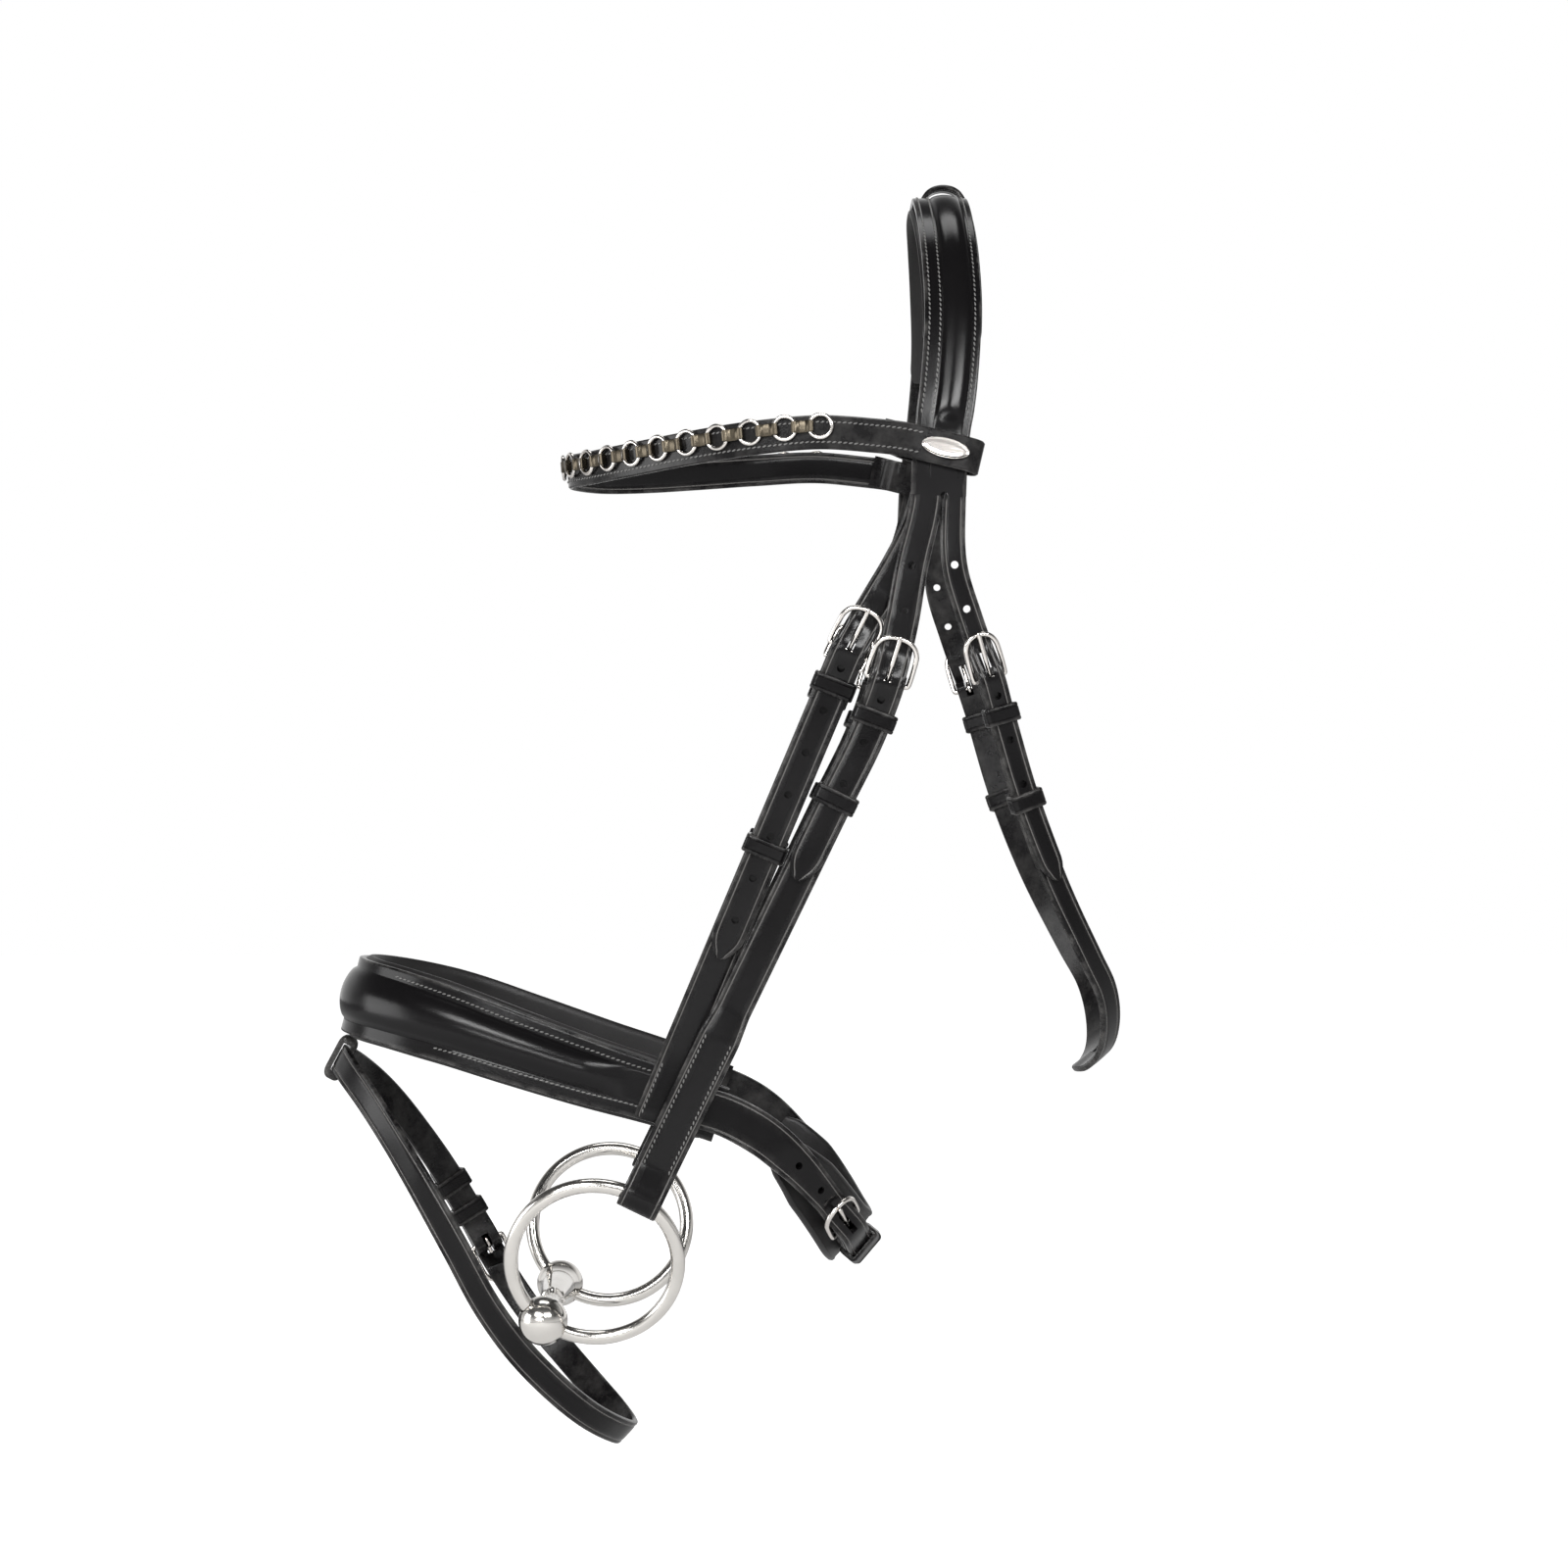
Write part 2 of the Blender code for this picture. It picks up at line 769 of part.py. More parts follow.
def inner_rings(where, way, out, side, low, high, half, length):
    """The square inside of a keeper, with as many points as its rounded outside."""
    ease = GAP / 2
    outline = [
        (-half + ease, low),
        (half - ease, low),
        (half, low + ease),
        (half, high - ease),
        (half - ease, high),
        (-half + ease, high),
        (-half, high - ease),
        (-half, low + ease),
    ]
    return [
        [where + way * step + side * across + out * lift for across, lift in outline]
        for step in (-length / 2, length / 2)
    ]


def crown_line():
    """Over the poll and down behind the ears, at the pad's inner face."""
    points = [Vector(), Vector((0, -POLL_FLAT, 0))] + [place(*share) for share in CROWN_SHARES]
    return Line(points, poll_core, mirrored=True)


def headpiece_lifts():
    """How far the headstrap and the headpiece lie from the pad's inner face."""
    strap_low = CROWN_PAD_THICK + GAP
    piece_low = strap_low + HEADSTRAP_THICK + GAP * 1.5
    return strap_low, piece_low


def nose_line():
    """Round the nose at the noseband pad's inner face, from its front back along the side."""
    points = [place(*NOSE_FRONT_SHARE)] + [place(*share) for share in NOSE_SHARES]
    return Line(points, core(NOSE_CORE_SHARES), mirrored=True)


def chin_line():
    """Under the jaw, from its middle up to the noseband's end."""
    points = [place(*CHIN_MIDDLE_SHARE)] + [place(*share) for share in CHIN_SHARES]
    return Line(points, core(CHIN_CORE_SHARES), mirrored=True)


def front_line(crown, nose):
    """From the headstrap's tine down to the noseband, through the noseband buckle's bar."""
    strap_low, _ = headpiece_lifts()
    lift = strap_low + HEADSTRAP_THICK / 2
    top = [crown.at(CROWN_SPLIT * share, across * CROWN_WIDTH, lift) for share, across in HEADSTRAP_END_SHARES]
    bar = place(*FRONT_BAR_SHARE)
    outer = NOSE_PAD_THICK + GAP + NOSE_THICK + GAP + STRAP_THICK / 2
    foot = nose.at(HANGER_FOOT_SHARE * nose.length, 0, outer)
    down = (foot - bar).normalized()
    down = Vector((down.x, 0, down.z)).normalized()
    upper = foot - down * (NOSE_END_WIDTH * 0.75)
    lower = foot + down * (NOSE_END_WIDTH * 0.5)
    points = top + [place(*share) for share in FRONT_TINE_SHARES]
    zero = len(points)
    points += [bar] + [bar.lerp(upper, share) for share in HANGER_RUN_SHARES]
    points += [upper, foot, lower]
    return Line(points, middle_plane, zero=zero)


def cheek_line(crown, front):
    """From the headpiece's cheek tine down to the bit ring, through the cheek buckle's bar."""
    _, piece_low = headpiece_lifts()
    lift = piece_low + TINE_THICK / 2
    across = (CROWN_WIDTH - TINE_WIDTH) / 2
    top = [crown.at(CROWN_SPLIT + step, across, lift) for step in (-CROWN_WIDTH / 2, 0)]
    where, way, out, side = front.frame(0)
    bar = where - side * CHEEK_SET_BACK + way * CHEEK_DROP_BACK + out * CHEEK_STAND_OFF
    back, outer, above = CHEEK_LEAD_SHARES
    lead = bar + Vector((back, -outer, above)) * FRAME_LENGTH
    points = [*top, place(*CHEEK_TINE_SHARE), lead]
    zero = len(points)
    bend, eye = place(*CHEEK_BEND_SHARE), place(*CHEEK_EYE_SHARE)
    points += [bar, bend] + [bend.lerp(eye, share) for share in CHEEK_RUN_SHARES]
    points.append(eye + (eye - bend).normalized() * EYE_WIDTH)
    return Line(points, middle_plane, zero=zero)


def flash_line(ball):
    """From the noseband's front down past the bit and under the chin. Its lower points follow the bit's ball."""
    points = [place(*share) for share in (FLASH_FRONT_SHARE, *FLASH_SHARES)]
    for back, outer, below in FLASH_BIT_SHARES:
        point = place(back, outer, below)
        points.append(Vector((ball.x + point.x, point.y, point.z)))
    return Line(points, core(FLASH_CORE_SHARES), mirrored=True, closed=True)


def throat_line(crown):
    """Under the throat and up to the headpiece's throat tine, from its lowest place."""
    _, piece_low = headpiece_lifts()
    lift = piece_low + TINE_THICK / 2
    across = (THROAT_WIDTH - CROWN_WIDTH) / 2
    low = place(*THROAT_LOW_SHARE)
    points = [low] + [place(*share) for share in THROAT_SHARES]
    bar_number = len(points)
    points += [place(*THROAT_BAR_SHARE)] + [place(*share) for share in THROAT_TINE_SHARES]
    points += [crown.at(CROWN_SPLIT + step, across, lift) for step in (0, -CROWN_WIDTH / 2)]
    line = Line(points, core(THROAT_CORE_SHARES), mirrored=True)
    return line, line.gone[bar_number * Line.STEPS]


def brow_line(crown):
    """Across the forehead at the middle of the browband, back to the headpiece's rear edge."""
    front = place(*BROW_FRONT_SHARE)
    points = [front] + [place(*share) for share in BROW_SHARES]
    points += [brow_loop_at(crown, forward, brow_lift()) for forward in (CROWN_WIDTH * 0.62, 0, -CROWN_WIDTH * 0.5)]
    return Line(points, core(BROW_CORE_SHARES), mirrored=True)


def brow_lift():
    """How far the browband's outer layer lies from the head beside the headpiece."""
    _, piece_low = headpiece_lifts()
    return piece_low + TINE_THICK + 2.5 * GAP + BROW_THICK / 2


def brow_inner_lift():
    """How far the browband's inner leaf lies from the head, under the noseband's strap."""
    return headpiece_lifts()[0] - 2 * GAP - BROW_THICK / 2


def brow_reach():
    """How far the browband's end loop reaches each way from the headpiece's middle."""
    return CROWN_WIDTH / 2 + GAP * 2


def brow_loop_at(crown, forward, lift):
    """A point of the browband's end loop, from the headpiece's middle."""
    where, _, out, _ = crown.frame(BROW_OFFSET)
    along = Vector((-1, 0, BROW_LOOP_SLOPE)).normalized()
    return where + along * forward + out * lift


def headpiece(crown, cheek, throat, throat_place):
    """The strap over the poll, its raised middle and its four tines."""
    _, low = headpiece_lifts()
    high = low + TINE_THICK
    half = CROWN_WIDTH / 2
    stations = [
        (POLL_FLAT, low, high, half, CROWN_ROLL * 0.4),
        (POLL_FLAT * 4, low, high, half, CROWN_ROLL),
        (BROW_OFFSET - BROW_WIDTH * 1.6, low, high, half, CROWN_ROLL),
        (BROW_OFFSET - BROW_WIDTH, low, high, half * 0.97, 0),
        (CROWN_SPLIT, low, high, half * 0.97, 0),
    ]
    near = filled(stations)
    far = [(-along, *sizes) for along, *sizes in reversed(near)]

    def section(*sizes):
        return rolled_section(*sizes, CROWN_ROLL_SHARES)

    rings = []
    for along, *sizes in far + near:
        where, _, out, side = crown.frame(along)
        rings.append([where + side * across + out * lift for across, lift in section(*sizes)])
    item = make("headpiece", skin(rings), leather("headpiece_leather"))
    sunk = GAP / 4
    thick = TINE_THICK / 2 - sunk
    tines, holes = [], []
    for buckle, tail, wide, start in (
        (cheek, CHEEK_TAIL, TINE_WIDTH, cheek.line.start),
        (throat, THROAT_TAIL, THROAT_WIDTH, throat.line.gone[-1] - throat_place),
    ):
        half = wide / 2 - sunk
        lead = [(-start + CROWN_WIDTH * 0.2, -thick, thick, half * 0.92), (-FRAME_LENGTH * 1.5, -thick, thick, half)]
        stations = buckle.tine(tail, half, lead)
        tines.append(strap(buckle.line, buckle.on_line(stations), step=buckle.step))
        for number in range(-2, 4):
            along = -buckle.slot()[1] + HOLE_PITCH * number
            if number != 0 and -start + CROWN_WIDTH < along < tail - half * 2:
                lift = lift_at(stations, along)
                holes.append(hole(buckle.line, buckle.place + buckle.sense * along, lift, HOLE))
        holes.append(buckle.tine_cut())
    middle = CROWN_WIDTH / 2 - TINE_WIDTH
    top, bottom = low - OVERRUN, high + OVERRUN
    holes.append(rod(crown.at(CROWN_SPLIT, middle, top), crown.at(CROWN_SPLIT, middle, bottom), SPLIT_HOLE, 8))
    join(item, tines + [mirrored(shape) for shape in tines])
    cut(item, holes + [mirrored(shape) for shape in holes])


def lift_at(stations, along):
    """The lift of a strap's middle at one place, from its stations."""
    for before, after in zip(stations, stations[1:]):
        if before[0] <= along <= after[0]:
            share = (along - before[0]) / (after[0] - before[0])
            low = before[1] + (after[1] - before[1]) * share
            high = before[2] + (after[2] - before[2]) * share
            return (low + high) / 2
    return 0


def crown_pieces(crown):
    """The pad under the headpiece and the thin arch over it."""
    half = CROWN_PAD_WIDTH / 2
    near = filled([(POLL_FLAT, 0, CROWN_PAD_THICK, half), (CROWN_PAD_LENGTH, 0, CROWN_PAD_THICK, half * 0.93)])
    far = [(-along, *sizes) for along, *sizes in reversed(near)]
    make("crown_pad", strap(crown, far + near, pad_section), padding("crown_pad_lining"))
    _, low = headpiece_lifts()
    top = low + TINE_THICK + CROWN_ROLL + CROWN_LOOP_RISE
    edge = CROWN_WIDTH / 2 * CROWN_ROLL_HALF_SHARE + CROWN_LOOP_THICK / 2 + 2 * GAP
    middle = CROWN_WIDTH / 2 * CROWN_ROLL_MIDDLE_SHARE
    foot = low + TINE_THICK + GAP
    arch = [(middle + edge * across, foot + (top - foot) * up) for across, up in CROWN_LOOP_SHARES]
    places = [crown.at(0, across, lift) for across, lift in arch]
    across = Vector((0, 1, 0))
    make("crown_loop", ribbon(places, across, CROWN_LOOP_WIDTH, CROWN_LOOP_THICK), leather("crown_loop_leather"))


def headstrap(crown, front):
    """The noseband's strap over the poll, with a tine at each end."""
    low, _ = headpiece_lifts()
    high = low + HEADSTRAP_THICK
    half = TINE_WIDTH / 2
    near = filled([(POLL_FLAT, low, high, half), (CROWN_SPLIT * HEADSTRAP_END_SHARES[0][0], low, high, half)])
    far = [(-along, *sizes) for along, *sizes in reversed(near)]
    item = make("noseband_headstrap", strap(crown, far + near), leather("headstrap_leather"))
    sunk = GAP / 4
    thick = HEADSTRAP_THICK / 2 - sunk
    wide = half - sunk
    start = front.line.start
    lead = [(-start - POLL_FLAT, -thick, thick, wide * 0.95), (-start + POLL_FLAT, -thick, thick, wide)]
    lead.append((-FRAME_LENGTH * 1.5, -thick, thick, wide))
    stations = front.tine(FRONT_TAIL, wide, lead)
    tine = strap(front.line, front.on_line(stations), step=front.step)
    holes = [front.tine_cut()]
    for number in range(1, 8):
        along = -front.slot()[1] + HOLE_PITCH * number
        if along < FRONT_TAIL - half * 2:
            holes.append(hole(front.line, along, lift_at(stations, along), HOLE))
    join(item, [tine, mirrored(tine)])
    cut(item, holes + [mirrored(shape) for shape in holes])


def browband(crown, brow):
    """The stitched band across the forehead, folded back round the headpiece at each end."""
    across = Vector((-1, 0, BROW_LOOP_SLOPE)).normalized().cross(crown.frame(BROW_OFFSET)[2])
    outer, inner = brow_lift(), brow_inner_lift()
    middle, reach, fold = (outer + inner) / 2, brow_reach(), (outer - inner) / 2
    loop = [
        (reach + BROW_LOOP_INNER * 0.6, outer - BROW_THICK - GAP * 2),
        (reach + BROW_LOOP_INNER * 0.34, outer - BROW_THICK * 1.4),
        (reach + BROW_LOOP_INNER * 0.1, inner + fold * 0.25),
        (reach * 0.7, inner),
        (-reach, inner),
        (-reach - fold * 0.75, middle - fold * 0.6),
        (-reach - fold, middle),
        (-reach - fold * 0.75, middle + fold * 0.6),
        (-reach * 0.9, outer),
        (0, outer),
        (reach, outer),
    ]
    near = [brow_loop_at(crown, forward, lift) for forward, lift in loop]
    near_across = [across] * len(near)
    end = brow.length - CROWN_WIDTH * 1.2
    count = BROW_STEPS
    for step in range(count + 1):
        along = end + (POLL_FLAT - end) * step / count
        where, way, out, side = brow.frame(along)
        near.append(where)
        near_across.append(-side)
    places = near + [Vector((p.x, -p.y, p.z)) for p in reversed(near)]
    sides = near_across + [Vector((s.x, -s.y, s.z)) for s in reversed(near_across)]
    rings = []
    last = len(places) - 1
    for number, (where, side) in enumerate(zip(places, sides)):
        way = (places[min(number + 1, last)] - places[max(number - 1, 0)]).normalized()
        side = (side - way * side.dot(way)).normalized()
        out = side.cross(way)
        section = flat_section(-BROW_THICK / 2, BROW_THICK / 2, BROW_WIDTH / 2)
        rings.append([where + side * wide + out * lift for wide, lift in section])
    make("browband", skin(rings), leather("browband_leather"))


def browband_chain(brow):
    """Rings in a row along the front of the browband, on a narrow strip that runs through them."""
    lift = BROW_THICK / 2 + RING_STAND + RING_WIRE / 2
    end = RING_PITCH * (RINGS_EACH_SIDE + 0.2)
    steps = 2 * RINGS_EACH_SIDE
    thick, half = RING_WIRE * 0.3, RING_STRIP / 2
    rings = []
    for step in range(steps + 1):
        where, _, out, side = brow.frame(-end + 2 * end * step / steps)
        where = where - side * RING_RISE
        section = [(-half, lift - thick), (half, lift - thick), (half, lift + thick), (-half, lift + thick)]
        rings.append([where + side * across + out * up for across, up in section])
    item = make("browband_chain", skin(rings), nickel("browband_chain_nickel"))
    hoops = []
    for number in range(-RINGS_EACH_SIDE, RINGS_EACH_SIDE + 1):
        where, way, out, side = brow.frame(RING_PITCH * number)
        places = circle(where - side * RING_RISE + out * lift, way, side, RING_RADIUS, 8)
        hoops.append(wire_loop(places, out, RING_WIRE / 2, 4))
    join(item, hoops)


def badges(crown):
    """A plain oval plate on each end loop of the browband."""
    loop_end = brow_reach() + (brow_lift() - brow_inner_lift()) / 2
    middle = BADGE_INSET + BADGE_LENGTH / 2 - loop_end
    where = brow_loop_at(crown, middle, brow_lift() + BROW_THICK / 2 + GAP)
    out = crown.frame(BROW_OFFSET)[2]
    along = Vector((-1, 0, BROW_LOOP_SLOPE))
    along = (along - out * along.dot(out)).normalized()
    side = along.cross(out)
    rings = []
    for up, size in ((0, 0.9), (0.25, 1), (0.6, 0.97), (1, 0.72)):
        rings.append(
            [
                where
                + out * (BADGE_THICK * up)
                + along * (BADGE_LENGTH / 2 * size * math.cos(2 * math.pi * i / 20))
                + side * (BADGE_WIDTH / 2 * size * math.sin(2 * math.pi * i / 20))
                for i in range(20)
            ]
        )
    shape = skin(rings)
    make("left_browband_badge", shape, nickel("left_badge_nickel"))
    make("right_browband_badge", mirrored(shape), nickel("right_badge_nickel"))


def cheekpieces(cheek):
    """The straps that carry the bit, each folded round its buckle's bar and round the bit ring."""
    line = cheek.line
    far = eye_place(line)
    body, lined = STRAP_THICK / 2, LINED_THICK / 2
    eye = BIT_RING_WIRE / 2 + EYE_PLAY + EYE_LEATHER
    wide = EYE_WIDTH / 2
    more = [
        (far - LINED_RUN, body, cheek.half),
        (far - LINED_RUN * 0.86, lined, wide),
        (far - eye * 2.4, lined, wide),
        (far - eye * 1.2, eye * 0.72, wide),
        (far - eye * 0.4, eye * 0.97, wide),
        (far, eye, wide),
        (far + eye * 0.45, eye * 0.9, wide),
        (far + eye * 0.85, eye * 0.55, wide),
        (far + eye, eye * 0.25, wide * 0.97),
    ]
    shape = strap(line, cheek.on_line(cheek.carrier(None, more)), step=cheek.step)
    cuts = cheek.carrier_cuts()
    centre, across, up, normal = bit_ring_frame(line)
    bore = circle(centre, across, up, BIT_RING_RADIUS, 36)
    cuts.append(wire_loop(bore, normal, BIT_RING_WIRE / 2 + EYE_PLAY, 10))
    for side, flip in (("left", False), ("right", True)):
        item = make(f"{side}_cheekpiece", mirrored(shape) if flip else shape, leather(f"{side}_cheek_leather"))
        cut(item, [mirrored(one) if flip else one for one in cuts])


def eye_place(line):
    """How far from the cheek buckle's bar the bit ring's wire crosses the cheekpiece."""
    return line.gone[-1 - Line.STEPS] - line.start


def bit_ring_frame(line):
    """The bit ring's centre, its forward and upward directions and its axis."""
    eye = line.places[-1 - Line.STEPS]
    tilt = math.radians(BIT_TILT)
    across = Vector((1, 0, 0))
    up = Vector((0, -math.sin(tilt), math.cos(tilt)))
    turn = math.radians(BIT_EYE_ANGLE)
    centre = eye - (across * math.sin(turn) + up * math.cos(turn)) * BIT_RING_RADIUS
    return centre, across, up, across.cross(up)


def bit_ball(line):
    """The middle of the near side's ball, on the bit ring's wire."""
    centre, across, up, _ = bit_ring_frame(line)
    turn = math.radians(BIT_BALL_ANGLE)
    return centre - (across * math.sin(turn) + up * math.cos(turn)) * BIT_RING_RADIUS


def hangers(front):
    """The straps that the noseband hangs by, each sewn on the nosepiece's end."""
    end = front.line.length
    body = STRAP_THICK / 2
    more = [(end, body, front.half)]
    shape = strap(front.line, front.on_line(front.carrier(None, more)), step=front.step)
    cuts = front.carrier_cuts()
    for side, flip in (("left", False), ("right", True)):
        item = make(f"{side}_noseband_hanger", mirrored(shape) if flip else shape, leather(f"{side}_hanger_leather"))
        cut(item, [mirrored(one) if flip else one for one in cuts])


def throatlash(throat):
    """The strap under the throat, folded round a buckle's bar at each end."""
    near = throat.on_line(throat.carrier(throat.place - POLL_FLAT))
    far = [(-along, *sizes) for along, *sizes in reversed(near)]
    item = make("throatlash", strap(throat.line, far + near), leather("throatlash_leather"))
    cuts = throat.carrier_cuts()
    cut(item, cuts + [mirrored(one) for one in cuts])


def nosepiece(nose):
    """The wide leather over the nose with its raised roll, and the pad inside it."""
    end = nose.length
    low, high = NOSE_PAD_THICK + GAP, NOSE_PAD_THICK + GAP + NOSE_THICK
    wide, narrow = NOSE_WIDTH / 2, NOSE_END_WIDTH / 2
    near = filled(
        [
            (POLL_FLAT, low, high, wide, NOSE_ROLL),
            (end * 0.3, low, high, wide * 0.98, NOSE_ROLL),
            (end * 0.66, low, high, wide * 0.84, NOSE_ROLL * 0.85),
            (end * 0.76, low, high, wide * 0.78, 0),
            (end, low, high, narrow, 0),
        ]
    )
    far = [(-along, *sizes) for along, *sizes in reversed(near)]

    def section(*sizes):
        return rolled_section(*sizes, NOSE_ROLL_SHARES)

    make("nosepiece", strap(nose, far + near, section), leather("nosepiece_leather"))
    edge = NOSE_PAD_EDGE
    near = filled(
        [
            (POLL_FLAT, 0, NOSE_PAD_THICK, wide + edge),
            (end * 0.3, 0, NOSE_PAD_THICK, wide * 0.98 + edge),
            (end * 0.66, 0, NOSE_PAD_THICK, wide * 0.84 + edge),
            (end * 0.97, 0, NOSE_PAD_THICK, narrow + edge),
        ]
    )
    far = [(-along, *sizes) for along, *sizes in reversed(near)]
    make("nosepiece_pad", strap(nose, far + near, pad_section), padding("nosepiece_pad_lining"))


def chin_pieces(chin, buckle):
    """The two chin straps, the pad under the jaw and the two keepers."""
    root_low = NOSE_PAD_THICK + GAP + NOSE_THICK + GAP
    middle = CHIN_PAD_THICK + GAP + buckle.fold
    end = chin.length
    root_high = root_low + STRAP_THICK
    pad_end = end * 0.62
    half = CHIN_PAD_WIDTH / 2
    near = filled(
        [
            (POLL_FLAT, 0, CHIN_PAD_THICK, half),
            (pad_end * 0.72, 0, CHIN_PAD_THICK, half * 0.9),
            (pad_end, 0, CHIN_PAD_THICK, half * 0.55),
        ]
    )
    far = [(-along, *sizes) for along, *sizes in reversed(near)]
    make("chin_pad", strap(chin, far + near, pad_section), padding("chin_pad_lining"))
    root = CHIN_ROOT_WIDTH / 2
    thick = STRAP_THICK / 2
    # The off-side strap carries the buckle and comes through under the jaw.
    carrier = [(along, low + middle, high + middle, wide) for along, low, high, wide in buckle.carrier(None)]
    carrier = buckle.on_line(carrier)
    run = [
        (-end * 0.95, root_low, root_high, root),
        (-end * 0.74, root_low, root_high, root),
        (-end * 0.60, middle - thick, middle + thick, root * 0.9),
        (-end * 0.4, middle - thick, middle + thick, buckle.half),
    ]
    item = make("right_chin_strap", strap(chin, run + carrier, step=CHIN_STEP), leather("right_chin_leather"))
    cut(item, buckle.carrier_cuts())
    # The near-side strap ends in the tine.
    tine = buckle.tine(SHORT_TAIL, buckle.half, [])
    tine = [(along, low + middle, high + middle, wide) for along, low, high, wide in tine]
    tine = buckle.on_line(tine)
    rise = [
        (end * 0.52, middle - thick, middle + thick, root * 0.85),
        (end * 0.62, middle - thick, middle + thick, root * 0.95),
        (end * 0.74, root_low, root_high, root),
        (end * 0.95, root_low, root_high, root),
    ]
    item = make("left_chin_strap", strap(chin, tine + rise, step=CHIN_STEP), leather("left_chin_leather"))
    holes = [buckle.tine_cut()]
    for number in (-2, -1):
        along = buckle.slot()[1] - HOLE_PITCH * 0.75 * number
        holes.append(hole(chin, buckle.place + along, middle, HOLE))
    cut(item, holes)
    for number, along in enumerate((CHIN_KEEPER_OFFSET, CHIN_KEEPER_OFFSET + KEEPER_LENGTH * 1.9), 1):
        low = middle - buckle.body / 2 - KEEPER_PLAY
        high = middle + buckle.over_body + TINE_THICK / 2 + KEEPER_PLAY
        shape = sleeve(chin, buckle.place - along, low, high, buckle.half + KEEPER_PLAY)
        make(f"chin_keeper_{number}", shape, leather(f"chin_keeper_{number}_leather"))


def flash_pieces(flash, buckle):
    """The lower strap, its two keepers on the off side and the loop that holds it to the noseband."""
    body = STRAP_THICK / 2
    turn = 2 * flash.length
    carrier = buckle.carrier(None)
    carrier.append((turn - FRAME_LENGTH * 2.2, -body, body, buckle.half))
    tine = [(turn + along, *sizes) for along, *sizes in buckle.tine(SHORT_TAIL, buckle.half, [])]
    shape = strap(flash, buckle.on_line(carrier + tine), step=FLASH_STEP)
    item = make("flash_strap", shape, leather("flash_leather"))
    cut(item, [*buckle.carrier_cuts(), buckle.tine_cut()])
    for number, along in enumerate((FIXED_KEEPER_OFFSET, FIXED_KEEPER_OFFSET + KEEPER_LENGTH * 1.9), 1):
        make(f"flash_keeper_{number}", buckle.keeper(along), leather(f"flash_keeper_{number}_leather"))
    flash_loop(flash)


def flash_loop(flash):
    """A leather loop at the noseband's lower edge, which the lower strap runs through."""
    low, high = -STRAP_THICK / 2 - FLASH_LOOP_PLAY, STRAP_THICK / 2 + 2 * FLASH_LOOP_PLAY
    shape = sleeve(flash, 0, low, high, FLASH_WIDTH / 2 + FLASH_LOOP_SIDE_PLAY, FLASH_LOOP_LENGTH)
    make("flash_loop", shape, leather("flash_loop_leather"))


def bit(line):
    """Two rings and the two halves of the mouthpiece, which meet in linked eyes on the middle plane."""
    centre, across, up, normal = bit_ring_frame(line)
    ring = wire_loop(circle(centre, across, up, BIT_RING_RADIUS, 36), normal, BIT_RING_WIRE / 2, 8)
    make("left_bit_ring", ring, steel("left_ring_steel"), centre)
    off = Vector((centre.x, -centre.y, centre.z))
    make("right_bit_ring", mirrored(ring), steel("right_ring_steel"), off)
    ball = bit_ball(line)
    inward = Vector((0, 1, 0))
    forward = Vector((1, 0, 0))
    down = Vector((0, 0, 1))
    reach = -ball.y
    link_middle = LINK_RADIUS - LINK_WIRE / 2 - GAP
    bar_end = reach - link_middle - LINK_RADIUS
    profile = [(-BALL_RADIUS * math.cos(a), BALL_RADIUS * math.sin(a)) for a in ball_turns()]
    profile += [(BALL_RADIUS * 1.15, CANNON_ROOT * 0.86), (BALL_RADIUS * 1.6, CANNON_ROOT)]
    profile += [(bar_end * 0.6, (CANNON_ROOT + CANNON_TIP) / 2), (bar_end, CANNON_TIP)]
    rings = [circle(ball + inward * step, forward, down, radius, 14) for step, radius in profile]
    shape = skin(rings)
    link = ball + inward * (reach - link_middle)
    bore = wire_loop(
        circle(centre, across, up, BIT_RING_RADIUS, 36), normal, BIT_RING_WIRE / 2 + BALL_PLAY, 10
    )
    for side, flip, plane in (("left", False, (inward, forward, down)), ("right", True, (inward, down, forward))):
        origin = Vector((ball.x, -ball.y, ball.z)) if flip else ball
        body = mirrored(shape) if flip else shape
        item = make(f"{side}_bit_cannon", body, steel(f"{side}_cannon_steel"), origin)
        first, second, axis = plane
        middle = Vector((link.x, -link.y, link.z)) if flip else link
        eye = wire_loop(circle(middle, first, second, LINK_RADIUS, 14), axis, LINK_WIRE / 2, 6)
        join(item, [eye])
        cut(item, [mirrored(bore) if flip else bore])
    return centre, ball


def ball_turns():
    """The angles of the ball's rings, from its outer pole to where the bar leaves it."""
    return [math.radians(angle) for angle in (12, 34, 56, 78, 100, 122)]


def side_hardware(buckles):
    """The buckle frames, tongues and keepers of both sides."""
    for name, buckle, runner in buckles:
        for side, flip in (("left", False), ("right", True)):
            bar = Vector((buckle.bar.x, -buckle.bar.y, buckle.bar.z)) if flip else buckle.bar
            shapes = [
                (f"{side}_{name}_buckle", buckle.frame(), nickel, bar),
                (f"{side}_{name}_tongue", buckle.tongue(), nickel, bar),
                (f"{side}_{name}_fixed_keeper", buckle.keeper(FIXED_KEEPER_OFFSET), leather, bar),
                (f"{side}_{name}_runner", buckle.keeper(runner), leather, bar),
            ]
            for title, shape, finish, origin in shapes:
                make(title, mirrored(shape) if flip else shape, finish(f"{title}_finish"), origin)


def lifted(buckle, lift):
    """Moves a buckle out from its line, for a strap that doesn't lie on the line itself."""
    buckle.bar = buckle.bar + buckle.out * lift
    return buckle


